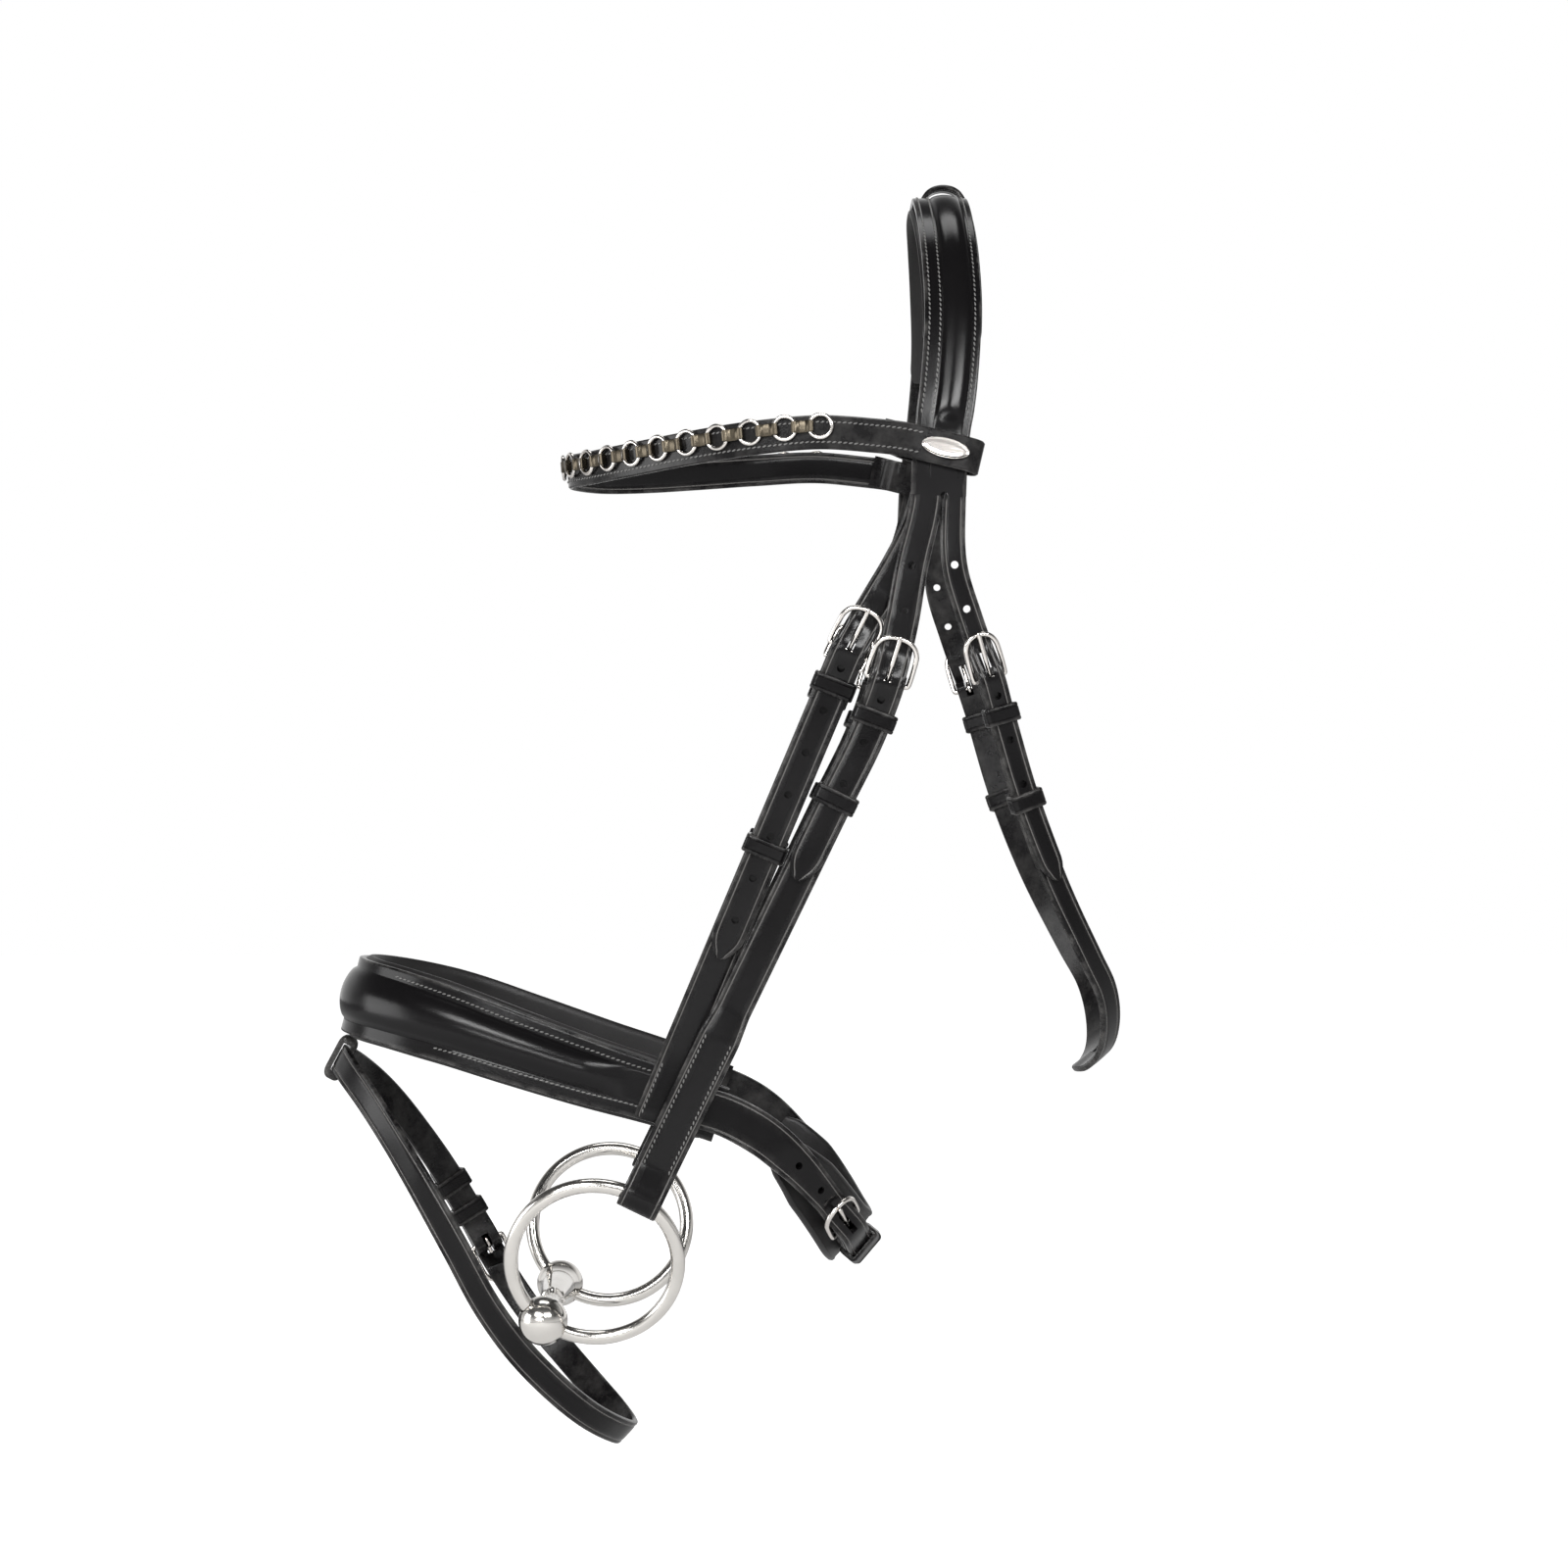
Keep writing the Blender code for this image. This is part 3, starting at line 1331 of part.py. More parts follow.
def build():
    """Makes the bridle."""
    clear_scene()
    crown = crown_line()
    nose = nose_line()
    chin = chin_line()
    front_path = front_line(crown, nose)
    front = Buckle(front_path, 0, 1, STRAP_WIDTH / 2, STRAP_THICK, LONG_STEP)
    cheek = Buckle(cheek_line(crown, front_path), 0, 1, STRAP_WIDTH / 2, STRAP_THICK, LONG_STEP)
    flash = flash_line(bit_ball(cheek.line))
    throat_path, throat_place = throat_line(crown)
    throat = Buckle(throat_path, throat_place, -1, THROAT_WIDTH / 2, STRAP_THICK)
    brow = brow_line(crown)
    chin_buckle = Buckle(chin, CHIN_BAR_SHARE * chin.length, -1, CHIN_WIDTH / 2, STRAP_THICK)
    lifted(chin_buckle, CHIN_PAD_THICK + GAP + chin_buckle.fold)
    flash_buckle = Buckle(flash, -FLASH_BAR_SHARE * flash.length, 1, FLASH_WIDTH / 2, STRAP_THICK)

    headpiece(crown, cheek, throat, throat_place)
    crown_pieces(crown)
    headstrap(crown, front)
    browband(crown, brow)
    browband_chain(brow)
    badges(crown)
    cheekpieces(cheek)
    hangers(front)
    throatlash(throat)
    nosepiece(nose)
    chin_pieces(chin, chin_buckle)
    flash_pieces(flash, flash_buckle)
    side_hardware(
        [
            ("cheek", cheek, RUNNING_KEEPER_OFFSET),
            ("noseband", front, FRONT_RUNNER_OFFSET),
            ("throatlash", throat, RUNNING_KEEPER_OFFSET),
        ]
    )
    for name, buckle in (("chin", chin_buckle), ("flash", flash_buckle)):
        make(f"{name}_buckle", buckle.frame(), nickel(f"{name}_buckle_finish"), buckle.bar)
        make(f"{name}_tongue", buckle.tongue(), nickel(f"{name}_tongue_finish"), buckle.bar)
    bit(cheek.line)


if __name__ == "__main__":
    build()
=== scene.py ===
import bisect
import math

import bmesh
import bpy
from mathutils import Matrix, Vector
from mathutils.kdtree import KDTree


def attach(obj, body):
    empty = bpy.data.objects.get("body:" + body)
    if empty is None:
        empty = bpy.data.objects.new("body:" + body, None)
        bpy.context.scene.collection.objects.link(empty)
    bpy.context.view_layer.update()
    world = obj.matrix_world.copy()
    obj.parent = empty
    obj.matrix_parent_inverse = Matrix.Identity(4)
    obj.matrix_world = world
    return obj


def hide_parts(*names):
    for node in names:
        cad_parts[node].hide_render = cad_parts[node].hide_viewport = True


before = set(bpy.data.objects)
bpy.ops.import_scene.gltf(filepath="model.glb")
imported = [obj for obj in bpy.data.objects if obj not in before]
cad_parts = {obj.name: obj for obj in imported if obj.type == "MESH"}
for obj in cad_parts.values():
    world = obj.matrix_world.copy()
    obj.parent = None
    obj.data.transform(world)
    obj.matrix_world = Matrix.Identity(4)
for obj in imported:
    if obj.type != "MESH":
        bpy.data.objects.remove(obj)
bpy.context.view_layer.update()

# Pad over the poll. A long narrow cushion of soft lining leather over felt, with rounded piped
# edges. It lies on the horse's head behind the ears, and every strap of the headpiece lies on it.
HEAD_REACH, HALF_BREADTH, HEAD_DROP = 0.300, 0.090, 0.500
GAP, FINE_STEP = 0.0003, 0.0026
POLL_FLAT, POLL_ROUND_SHARE = 0.006, 0.62
CROWN_PAD_WIDTH, CROWN_PAD_THICK, CROWN_PAD_REACH = 0.028, 0.0022, 0.112
CROWN_SHARES = [
    (0, 0.22, 0.004), (0.003, 0.40, 0.019), (0.008, 0.63, 0.054), (0.011, 0.80, 0.108),
    (0.004, 0.90, 0.170), (-0.009, 0.956, 0.230), (-0.013, 0.972, 0.280),
]
PAD_HALF_SHARES = [(0.78, 0), (0.93, 0.10), (1, 0.35), (1, 0.68), (0.95, 0.92), (0.88, 1)]
PAD_HALF_SHARES += [(0.80, 0.92), (0.4, 0.98)]
PAD_SHARES = [(-0.78, 0), *PAD_HALF_SHARES, (0, 1), *((-a, up) for a, up in reversed(PAD_HALF_SHARES[1:]))]
TONE_SHARES, POLISH_SHARES = (0.7, 1.35), (0.8, 1.2)
LINING_COLOUR, LINING_EDGE = (0.009, 0.0084, 0.0086), (0.04, 0.038, 0.036)


def place(back, out, down):
    """A point from shares of the head's reach, half breadth and drop, on the near side."""
    return Vector((back * HEAD_REACH, -out * HALF_BREADTH, -down * HEAD_DROP))


def placed(shares):
    """Points from rows of shares."""
    return [place(*row) for row in shares]


def flipped(point):
    """The same point or way on the horse's other side."""
    return Vector((point.x, -point.y, point.z))


class Line:
    """A smooth line through points round the head, measured along its length from the point zero."""

    STEPS = 16

    def __init__(self, points, outward, zero=0, mirrored=False, closed=False):
        self.outward, self.mirrored, self.closed = outward, mirrored, closed
        spans = [(after - before).length for before, after in zip(points, points[1:])]
        chords = [(after - before) / span for before, after, span in zip(points, points[1:], spans)]
        slopes = [chords[0]]
        for i in range(len(spans) - 1):
            slopes.append((chords[i] * spans[i + 1] + chords[i + 1] * spans[i]) / (spans[i] + spans[i + 1]))
        slopes.append(chords[-1])
        if mirrored:
            slopes[0] = Vector((0, -1, 0))
        if closed:
            slopes[-1] = Vector((0, 1, 0))
        self.places = [points[0]]
        for number, span in enumerate(spans):
            for step in range(1, self.STEPS + 1):
                t = step / self.STEPS
                self.places.append(
                    points[number] * (2 * t**3 - 3 * t**2 + 1)
                    + slopes[number] * span * (t**3 - 2 * t**2 + t)
                    + points[number + 1] * (3 * t**2 - 2 * t**3)
                    + slopes[number + 1] * span * (t**3 - t**2)
                )
        self.gone = [0.0]
        for before, after in zip(self.places, self.places[1:]):
            self.gone.append(self.gone[-1] + (after - before).length)
        self.start = self.gone[zero * self.STEPS]
        self.length = self.gone[-1] - self.start
        last = len(self.places) - 1
        self.ways = [
            (self.places[min(i + 1, last)] - self.places[max(i - 1, 0)]).normalized() for i in range(last + 1)
        ]

    def frame(self, along):
        """The place, the direction, the outward normal and the direction across, at one distance."""
        if self.closed:
            along = (along + self.length) % (2 * self.length) - self.length
        beyond = self.mirrored and along < 0
        want = self.start + (-along if beyond else along)
        low = min(max(bisect.bisect_right(self.gone, want) - 1, 0), len(self.gone) - 2)
        share = (want - self.gone[low]) / (self.gone[low + 1] - self.gone[low])
        where = self.places[low].lerp(self.places[low + 1], share)
        way = self.ways[low].lerp(self.ways[low + 1], min(max(share, 0), 1)).normalized()
        out = where - self.outward(where)
        out = (out - way * out.dot(way)).normalized()
        if beyond:
            where, out, way = flipped(where), flipped(out), -flipped(way)
        return where, way, out, way.cross(out)

    def at(self, along, across, lift):
        """A point on the strap that follows the line."""
        where, _, out, side = self.frame(along)
        return where + side * across + out * lift


def poll_core(point):
    """The middle of the poll's round for a point above it, and else the middle plane."""
    return Vector((point.x, 0, min(point.z, -POLL_ROUND_SHARE * HALF_BREADTH)))


def eased(profile, step=FINE_STEP):
    """Stations close together along a strap, with their sizes eased from one to the next."""
    rough = []
    for before, after in zip(profile, profile[1:]):
        count = max(1, math.ceil((after[0] - before[0]) / step))
        rough += [[a + (b - a) * i / count for a, b in zip(before, after)] for i in range(count)]
    rough.append(list(profile[-1]))
    smooth = [rough[0]]
    for before, here, after in zip(rough, rough[1:], rough[2:]):
        smooth.append([here[0]] + [(a + 2 * b + c) / 4 for a, b, c in zip(before[1:], here[1:], after[1:])])
    return smooth + [rough[-1]]


def swept(line, profile, section, step=FINE_STEP):
    """A strap's skin along a line. Each point carries its edge mark, for worn edges and painted highlights.
    """
    rings = []
    for along, *sizes in eased(profile, step):
        where, _, out, side = line.frame(along)
        rings.append([(where + side * across + out * lift, rim) for across, lift, rim in section(*sizes)])
    return skinned(rings)


def to_both_sides(near):
    """A profile from the middle down the near side, carried on down the off side."""
    return [(-along, *sizes) for along, *sizes in reversed(near)] + near


def skinned(rings, closed=False):
    """Rings joined into one closed skin: its points, its faces and its edge marks."""
    count = len(rings[0])
    points = [point for ring in rings for point, _ in ring]
    rims = [rim for ring in rings for _, rim in ring]
    faces = []
    for number in range(len(rings) if closed else len(rings) - 1):
        base, other = number * count, ((number + 1) % len(rings)) * count
        for i in range(count):
            j = (i + 1) % count
            faces.append((base + i, base + j, other + j, other + i))
    if not closed:
        faces.append(tuple(reversed(range(count))))
        faces.append(tuple((len(rings) - 1) * count + i for i in range(count)))
    return points, faces, rims


def off_side(shape):
    """The same shape on the horse's off side."""
    points, faces, rims = shape
    return [flipped(p) for p in points], [tuple(reversed(face)) for face in faces], rims


def together(shapes):
    """Several shapes as one."""
    points, faces, rims = [], [], []
    for some_points, some_faces, some_rims in shapes:
        faces += [tuple(len(points) + i for i in face) for face in some_faces]
        points += some_points
        rims += some_rims
    return points, faces, rims


def solid(name, shape, finish=None):
    """An object from a shape, with its faces outwards and its edge marks kept as an attribute."""
    points, faces, rims = shape
    mesh = bpy.data.meshes.new(name)
    mesh.from_pydata(points, [], faces)
    mesh.attributes.new("rim", "FLOAT", "POINT").data.foreach_set("value", rims)
    work = bmesh.new()
    work.from_mesh(mesh)
    bmesh.ops.recalc_face_normals(work, faces=work.faces)
    work.to_mesh(mesh)
    work.free()
    if finish:
        mesh.materials.append(finish)
    item = bpy.data.objects.new(name, mesh)
    bpy.context.scene.collection.objects.link(item)
    return item


def shaded(item, angle=38):
    """Rounds an object's shading, with its sharp edges kept."""
    item.data.shade_smooth()
    item.data.set_sharp_from_angle(angle=math.radians(angle))
    return item


def settled(item):
    """Makes what an object's modifiers give into its plain mesh."""
    done = item.evaluated_get(bpy.context.evaluated_depsgraph_get())
    mesh = bpy.data.meshes.new_from_object(done)
    item.modifiers.clear()
    item.data = mesh
    return item


def finished(item, slot_name, *nodes, body="straps"):
    """Says what carries a piece, and which nodes it stands for. What it is made of, the slot name, is not
    used.
    """
    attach(item, body)
    if nodes:
        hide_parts(*nodes)
    return item


def piece(name, shape, finish, slot_name, *nodes, body="straps", angle=38):
    """A shaded object from a shape, finished."""
    return finished(shaded(solid(name, shape, finish), angle), slot_name, *nodes, body=body)


def feed(tree, made, inputs):
    """Sets a node's inputs. Each is a value, or a socket to link from."""
    for key, value in inputs.items():
        if isinstance(value, bpy.types.NodeSocket):
            tree.links.new(value, made.inputs[key])
        else:
            made.inputs[key].default_value = value
    return made


def node(tree, kind, inputs=None, **settings):
    """One node with its settings and inputs."""
    made = tree.nodes.new(kind)
    for key, value in settings.items():
        setattr(made, key, value)
    return feed(tree, made, inputs or {})


def maths(tree, operation, *values):
    """A sum of one kind on values or sockets."""
    return node(tree, "ShaderNodeMath", dict(enumerate(values)), operation=operation).outputs[0]


def noise(tree, where, scale, detail, roughness=0.5, distortion=0.0):
    """Smooth noise at a number of waves to the metre."""
    look = {"Scale": scale, "Detail": detail, "Roughness": roughness, "Distortion": distortion}
    return node(tree, "ShaderNodeTexNoise", {"Vector": where, **look}).outputs["Fac"]


def ranged(tree, value, source, target=(0.0, 1.0)):
    """A value carried from one range to another and held inside it."""
    ends = {"From Min": source[0], "From Max": source[1], "To Min": target[0], "To Max": target[1]}
    return node(tree, "ShaderNodeMapRange", {"Value": value, **ends}).outputs[0]


def blend(tree, share, first, second):
    """A colour between two others."""
    return node(tree, "ShaderNodeMix", {0: share, 6: first, 7: second}, data_type="RGBA").outputs[2]


def group(name, kind, takes, gives):
    """A node group with its end nodes. An input is a number, or geometry where it has no default."""
    tree = bpy.data.node_groups.new(name, kind)
    for label, default in takes.items():
        socket = "NodeSocketGeometry" if default is None else "NodeSocketFloat"
        made = tree.interface.new_socket(label, in_out="INPUT", socket_type=socket)
        if default is not None:
            made.default_value = default
    for label in gives:
        socket = "NodeSocketFloat" if kind == "ShaderNodeTree" else "NodeSocketGeometry"
        tree.interface.new_socket(label, in_out="OUTPUT", socket_type=socket)
    return tree, tree.nodes.new("NodeGroupInput").outputs, tree.nodes.new("NodeGroupOutput")


def material(name):
    """A new material, its node tree and its shader."""
    made = bpy.data.materials.new(name)
    made.use_nodes = True
    return made, made.node_tree, made.node_tree.nodes["Principled BSDF"]


def grain_group():
    """Leather's grain: fine cells with pores between them, and slow changes of tone over the hide."""
    sizes = {"Cells per Metre": 1200.0, "Crease Share": 0.3}
    tree, given, put = group("hide_grain", "ShaderNodeTree", sizes, ("Height", "Tone"))
    where = node(tree, "ShaderNodeTexCoord").outputs["Object"]
    look = {"Vector": where, "Scale": given["Cells per Metre"], "Randomness": 1.0}
    cells = node(tree, "ShaderNodeTexVoronoi", look, feature="SMOOTH_F1").outputs["Distance"]
    pores = noise(tree, where, 2600.0, 2.0)
    folds = noise(tree, where, 140.0, 5.0, distortion=0.6)
    height = maths(tree, "MULTIPLY_ADD", folds, given["Crease Share"], maths(tree, "MULTIPLY", cells, pores))
    feed(tree, put, {"Height": height, "Tone": noise(tree, where, 26.0, 3.0)})
    return tree


def wear_and_highlight_group():
    """Lighter patches along the marked edges and on raised places: rubbed wear, and painted highlight on the
    edges.
    """
    tree, given, put = group("edge_wear_and_highlight", "ShaderNodeTree", {"Edge": 0.0, "Amount": 0.5}, ("Wear and Highlight",))
    where = node(tree, "ShaderNodeTexCoord").outputs["Object"]
    patches = ranged(tree, noise(tree, where, 95.0, 6.0, roughness=0.7), (0.42, 0.68))
    rubbed = maths(tree, "MULTIPLY", patches, given["Edge"])
    feed(tree, put, {"Wear and Highlight": maths(tree, "MULTIPLY", rubbed, given["Amount"])})
    return tree


HIDE_GRAIN = grain_group()
EDGE_WEAR_AND_HIGHLIGHT = wear_and_highlight_group()


def hide(name, colour, light, roughness, cells, depth, wear_and_highlight=0.5, creases=0.3, shine=0.5):
    """A leather: its colour, a lighter tone of worn edges with painted highlight on edges and in creases, its
    polish and grain.
    """
    made, tree, shader = material(name)
    look = {"Cells per Metre": cells, "Crease Share": creases}
    grain = node(tree, "ShaderNodeGroup", look, node_tree=HIDE_GRAIN).outputs
    edge = node(tree, "ShaderNodeAttribute", attribute_name="rim").outputs["Fac"]
    worn_and_highlit = node(tree, "ShaderNodeGroup", {"Amount": wear_and_highlight, "Edge": edge}, node_tree=EDGE_WEAR_AND_HIGHLIGHT)
    dark, bright = ((*(c * share for c in colour), 1) for share in TONE_SHARES)
    toned = blend(tree, grain["Tone"], dark, bright)
    # Edge tone: wear along the edges, and painted highlight where the edges catch the light.
    toned_worn_and_highlit = blend(tree, worn_and_highlit.outputs["Wear and Highlight"], toned, (*light, 1))
    # Painted highlight: crease bottoms, marked -1, take the lighter tone.
    crease_highlighted = blend(tree, ranged(tree, edge, (0.0, -1.0)), toned_worn_and_highlit, (*light, 1))
    polish = ranged(tree, grain["Tone"], (0.3, 0.7), [roughness * share for share in POLISH_SHARES])
    bump = node(tree, "ShaderNodeBump", {"Height": grain["Height"], "Strength": 0.6, "Distance": depth})
    feed(tree, shader, {"Base Color": crease_highlighted, "Roughness": polish, "Specular IOR Level": shine})
    feed(tree, shader, {"Normal": bump.outputs[0]})
    return made


LINING_LOOK = {"roughness": 0.42, "cells": 900.0, "depth": 0.00018, "wear_and_highlight": 0.3, "creases": 0.5, "shine": 0.3}
LINING = hide("lining_leather", LINING_COLOUR, LINING_EDGE, **LINING_LOOK)


def pad_section(low, high, half):
    """A pad's section: rounded at the edges, with a piped bead along them and a soft middle."""
    return [(half * across, low + (high - low) * up, 0.3 if up > 0.6 else 0) for across, up in PAD_SHARES]


crown = Line([Vector(), Vector((0, -POLL_FLAT, 0)), *placed(CROWN_SHARES)], poll_core, mirrored=True)
half = CROWN_PAD_WIDTH / 2
near = [
    (POLL_FLAT, 0, CROWN_PAD_THICK, half),
    (CROWN_PAD_REACH * 0.96, 0, CROWN_PAD_THICK, half * 0.93),
    (CROWN_PAD_REACH, 0, CROWN_PAD_THICK * 0.8, half * 0.80),
]
shape = swept(crown, to_both_sides(near), pad_section)
piece("crown_pad_lining", shape, LINING, "pad_leather", "crown_pad")

# The noseband's own strap over the poll. One thin strap of bridle leather between the pad and the
# headpiece, narrowed to a tine on each side, with a punched row of holes for its buckle.
TINE_WIDTH, STRAP_WIDTH = 0.015, 0.016
STRAP_THICK, TINE_THICK, HEADSTRAP_THICK = 0.0030, 0.0024, 0.0020
EDGE_EASE, CREASE_INSET, CREASE_WIDTH, CREASE_DEPTH = 0.0007, 0.0021, 0.0010, 0.00030
CROWN_WIDTH, CROWN_SPLIT = 0.025, 0.180
WIRE, TONGUE_WIRE = 0.0023, 0.0020
FRAME_LENGTH, FRAME_SIDE, FOLD_RUN, FOLD_LEATHER = 0.0195, 0.0004, 0.012, 0.0027
UNDER_ARCH, TONGUE_LIFT = 0.0009, 8.0
HOLE, HOLE_PITCH, OVERRUN, SAME_PLACE = 0.0034, 0.020, 0.002, 0.00001
FRONT_TAIL = 0.147
TINE_TOP_SHARE, TINE_DOWN_SHARE = 0.12, 0.70
NOSE_PAD_THICK, NOSE_THICK, NOSE_END_WIDTH = 0.0045, 0.0030, 0.025
NOSE_SHARES = [
    (-0.876, 0, 0.717), (-0.858, 0.21, 0.719), (-0.810, 0.367, 0.725), (-0.740, 0.489, 0.736),
    (-0.637, 0.578, 0.756), (-0.523, 0.622, 0.778), (-0.417, 0.644, 0.797), (-0.330, 0.644, 0.815),
]
NOSE_CORE_SHARES = [(-0.715, 0, 0.742), (-0.333, 0, 0.814)]
HEADSTRAP_SPLIT_SHARE = 0.82
TINE_START_SHARES = [(HEADSTRAP_SPLIT_SHARE, 0), (0.91, 0.07)]
FRONT_TINE_SHARES = [(-0.044, 1.005, 0.300), (-0.072, 0.982, 0.333), (-0.105, 0.962, 0.366)]
FRONT_BAR_SHARE = (-0.142, 0.944, 0.405)
HANGER_FOOT_SHARE = 0.86
FOLD_SHARES = [(1, 0.32), (0.9, 0.52), (0.72, 0.72), (0.5, 0.88), (0.3, 0.96), (0, 1)]
TIP_SHARES = [(0, 1), (0.25, 0.95), (0.5, 0.82), (0.75, 0.60), (0.9, 0.40), (1, 0.17)]
# The lighter edge tone is worn edge colour and also painted highlight on edges and in creases.
BRIDLE_BLACK, BRIDLE_EDGE_WEAR_AND_HIGHLIGHT = (0.0042, 0.0039, 0.0042), (0.14, 0.135, 0.13)


def core(start, end):
    """Gives, for any point, the nearest point on a stretch of the head's middle."""

    def nearest(point):
        run = end - start
        share = min(max((point - start).dot(run) / run.length_squared, 0), 1)
        return start + run * share

    return nearest


def middle_plane(point):
    """The point on the head's middle plane beside a point on its side."""
    return Vector((point.x, 0, point.z))


def other_half(points):
    """The second half of a section whose two sides are alike."""
    return [(-across, lift, rim) for across, lift, rim in reversed(points)]


def strap_section(low, high, half):
    """A strap's section: eased edges, and a line creased along each side of its grain face."""
    ease = min(EDGE_EASE, (high - low) * 0.4, half * 0.4)
    inset = min(CREASE_INSET, half * 0.45)
    groove = min(CREASE_WIDTH / 2, inset * 0.3)
    right = [
        (half - ease, low, 0.3),
        (half, low + ease, 1),
        (half, high - ease, 1),
        (half - ease * 0.3, high - ease * 0.3, 1),
        (half - ease, high, 0.7),
        (half - inset + groove, high, 0.3),
        # The crease's bottom is marked -1: there the leather paints a highlight tone.
        (half - inset, high - CREASE_DEPTH, -1),
        (half - inset - groove, high, 0.2),
        (half * 0.4, high + CREASE_DEPTH / 3, 0),
    ]
    return right + other_half(right)


def bare(points):
    """Points of a ring that no dyed edge is near."""
    return [(point, 0) for point in points]


def circle(centre, first, second, radius, count):
    """Points round a circle from the first direction towards the second."""
    turns = [2 * math.pi * i / count for i in range(count)]
    return [centre + first * (radius * math.cos(t)) + second * (radius * math.sin(t)) for t in turns]


def rod(start, end, radius, sides=16):
    """A round bar from one point to another."""
    way = (end - start).normalized()
    side = way.orthogonal().normalized()
    return skinned([bare(circle(middle, side, way.cross(side), radius, sides)) for middle in (start, end)])


def block(origin, axes, lows, highs):
    """A box along three axes, from its low to its high distances."""
    square = [(lows[0], lows[1]), (highs[0], lows[1]), (highs[0], highs[1]), (lows[0], highs[1])]
    ends = (lows[2], highs[2])
    return skinned([bare(origin + axes[0] * x + axes[1] * y + axes[2] * z for x, y in square) for z in ends])


def punched(line, along, lift):
    """The punch for a round hole through a strap."""
    reach = STRAP_THICK + OVERRUN
    return rod(line.at(along, 0, lift - reach), line.at(along, 0, lift + reach), HOLE / 2)


def lift_at(stations, along):
    """The lift of a strap's middle at one place, from its stations."""
    for before, after in zip(stations, stations[1:]):
        if before[0] <= along <= after[0]:
            share = (along - before[0]) / (after[0] - before[0])
            return sum(b + (a - b) * share for b, a in zip(before[1:3], after[1:3])) / 2
    return 0


class Buckle:
    """What a buckle sets: the fold that carries it, the tine that goes through it, and its wire.

    Distances run from the bar: along the strap that carries it, out from the head, and across.
    """

    def __init__(self, line, along, sense, half, body=STRAP_THICK):
        self.line, self.place, self.sense, self.half, self.body = line, along, sense, half, body
        where, way, out, side = line.frame(along)
        self.bar, self.way, self.out, self.side = where, way * sense, out, side
        self.fold = WIRE / 2 + GAP + FOLD_LEATHER
        self.arch = UNDER_ARCH + TINE_THICK / 2 + 2.5 * GAP + WIRE / 2
        self.over_fold = self.fold + GAP + TINE_THICK / 2
        self.over_body = body / 2 + GAP + TINE_THICK / 2
        self.wide = half + FRAME_SIDE + WIRE / 2
        self.eye = WIRE / 2 + GAP + TONGUE_WIRE / 2
        self.tip = (FRAME_LENGTH + WIRE / 2, self.arch + WIRE / 2 + GAP + TONGUE_WIRE / 2)

    def at(self, along, out, across):
        """A point in the buckle's own distances."""
        return self.bar + self.way * along + self.out * out + self.side * across

    def on_line(self, stations):
        """Stations measured along the line, in rising order."""
        moved = [(self.place + self.sense * along, *sizes) for along, *sizes in stations]
        return moved if self.sense > 0 else moved[::-1]

    def slot(self):
        """Where the tongue goes through the tine: from and to, back from the bar."""
        back, out = self.tip
        fall = (self.over_fold - UNDER_ARCH) / (FRAME_LENGTH * (TINE_DOWN_SHARE - TINE_TOP_SHARE))
        rise = (out - self.eye) / back
        cross = (self.over_fold + fall * FRAME_LENGTH * TINE_TOP_SHARE - self.eye) / (rise + fall)
        half = (TINE_THICK / 2 + TONGUE_WIRE / 2 + 2 * GAP) * math.hypot(1, fall) / (rise + fall)
        lift = cross * math.tan(math.radians(TONGUE_LIFT)) / (rise + fall)
        return max(cross - half - lift, 0), cross + half

    def tine_cut(self):
        """The punch for the long hole that the tongue goes through."""
        near, far = self.slot()
        reach = self.over_fold + TINE_THICK + OVERRUN
        side = TONGUE_WIRE / 2 + 2 * GAP
        return block(self.bar, (self.way, self.side, self.out), (-far, -side, -reach), (-near, side, reach))

    def carrier(self, more):
        """Stations of the strap that is folded round the bar, and on along it."""
        fold, body, half = self.fold, self.body / 2, self.half
        stations = [(-fold * back, fold * up, half) for back, up in FOLD_SHARES]
        stations += [(FOLD_RUN / 2, (fold + body) / 2, half), (FOLD_RUN, body, half), *more]
        return [(along, -thick, thick, wide) for along, thick, wide in stations]

    def carrier_cuts(self):
        """The bore for the bar and the slot for the tongue's eye."""
        reach = self.half + OVERRUN
        tall, side = self.fold + OVERRUN, TONGUE_WIRE / 2 + 2 * GAP
        slot = block(
            self.bar,
            (self.way, self.side, self.out),
            (-tall, -side, -tall),
            (self.eye + TONGUE_WIRE / 2 + GAP, side, tall),
        )
        return [rod(self.at(0, 0, -reach), self.at(0, 0, reach), WIRE / 2 + GAP), slot]

    def tine(self, tail, half, before, thick=TINE_THICK):
        """Stations of the tine through the buckle, ending in a point. Before gives its start."""
        lifts = [
            (-FRAME_LENGTH * 1.05, UNDER_ARCH, half),
            (-FRAME_LENGTH * TINE_DOWN_SHARE, UNDER_ARCH, half),
            (-FRAME_LENGTH * TINE_TOP_SHARE, self.over_fold, half),
            (self.fold / 2, self.over_fold, half),
            (FOLD_RUN, self.over_body, half),
        ]
        lifts += [(tail - half * 1.6 * (1 - far), self.over_body, half * wide) for far, wide in TIP_SHARES]
        return [*before, *((along, lift - thick / 2, lift + thick / 2, wide) for along, lift, wide in lifts)]


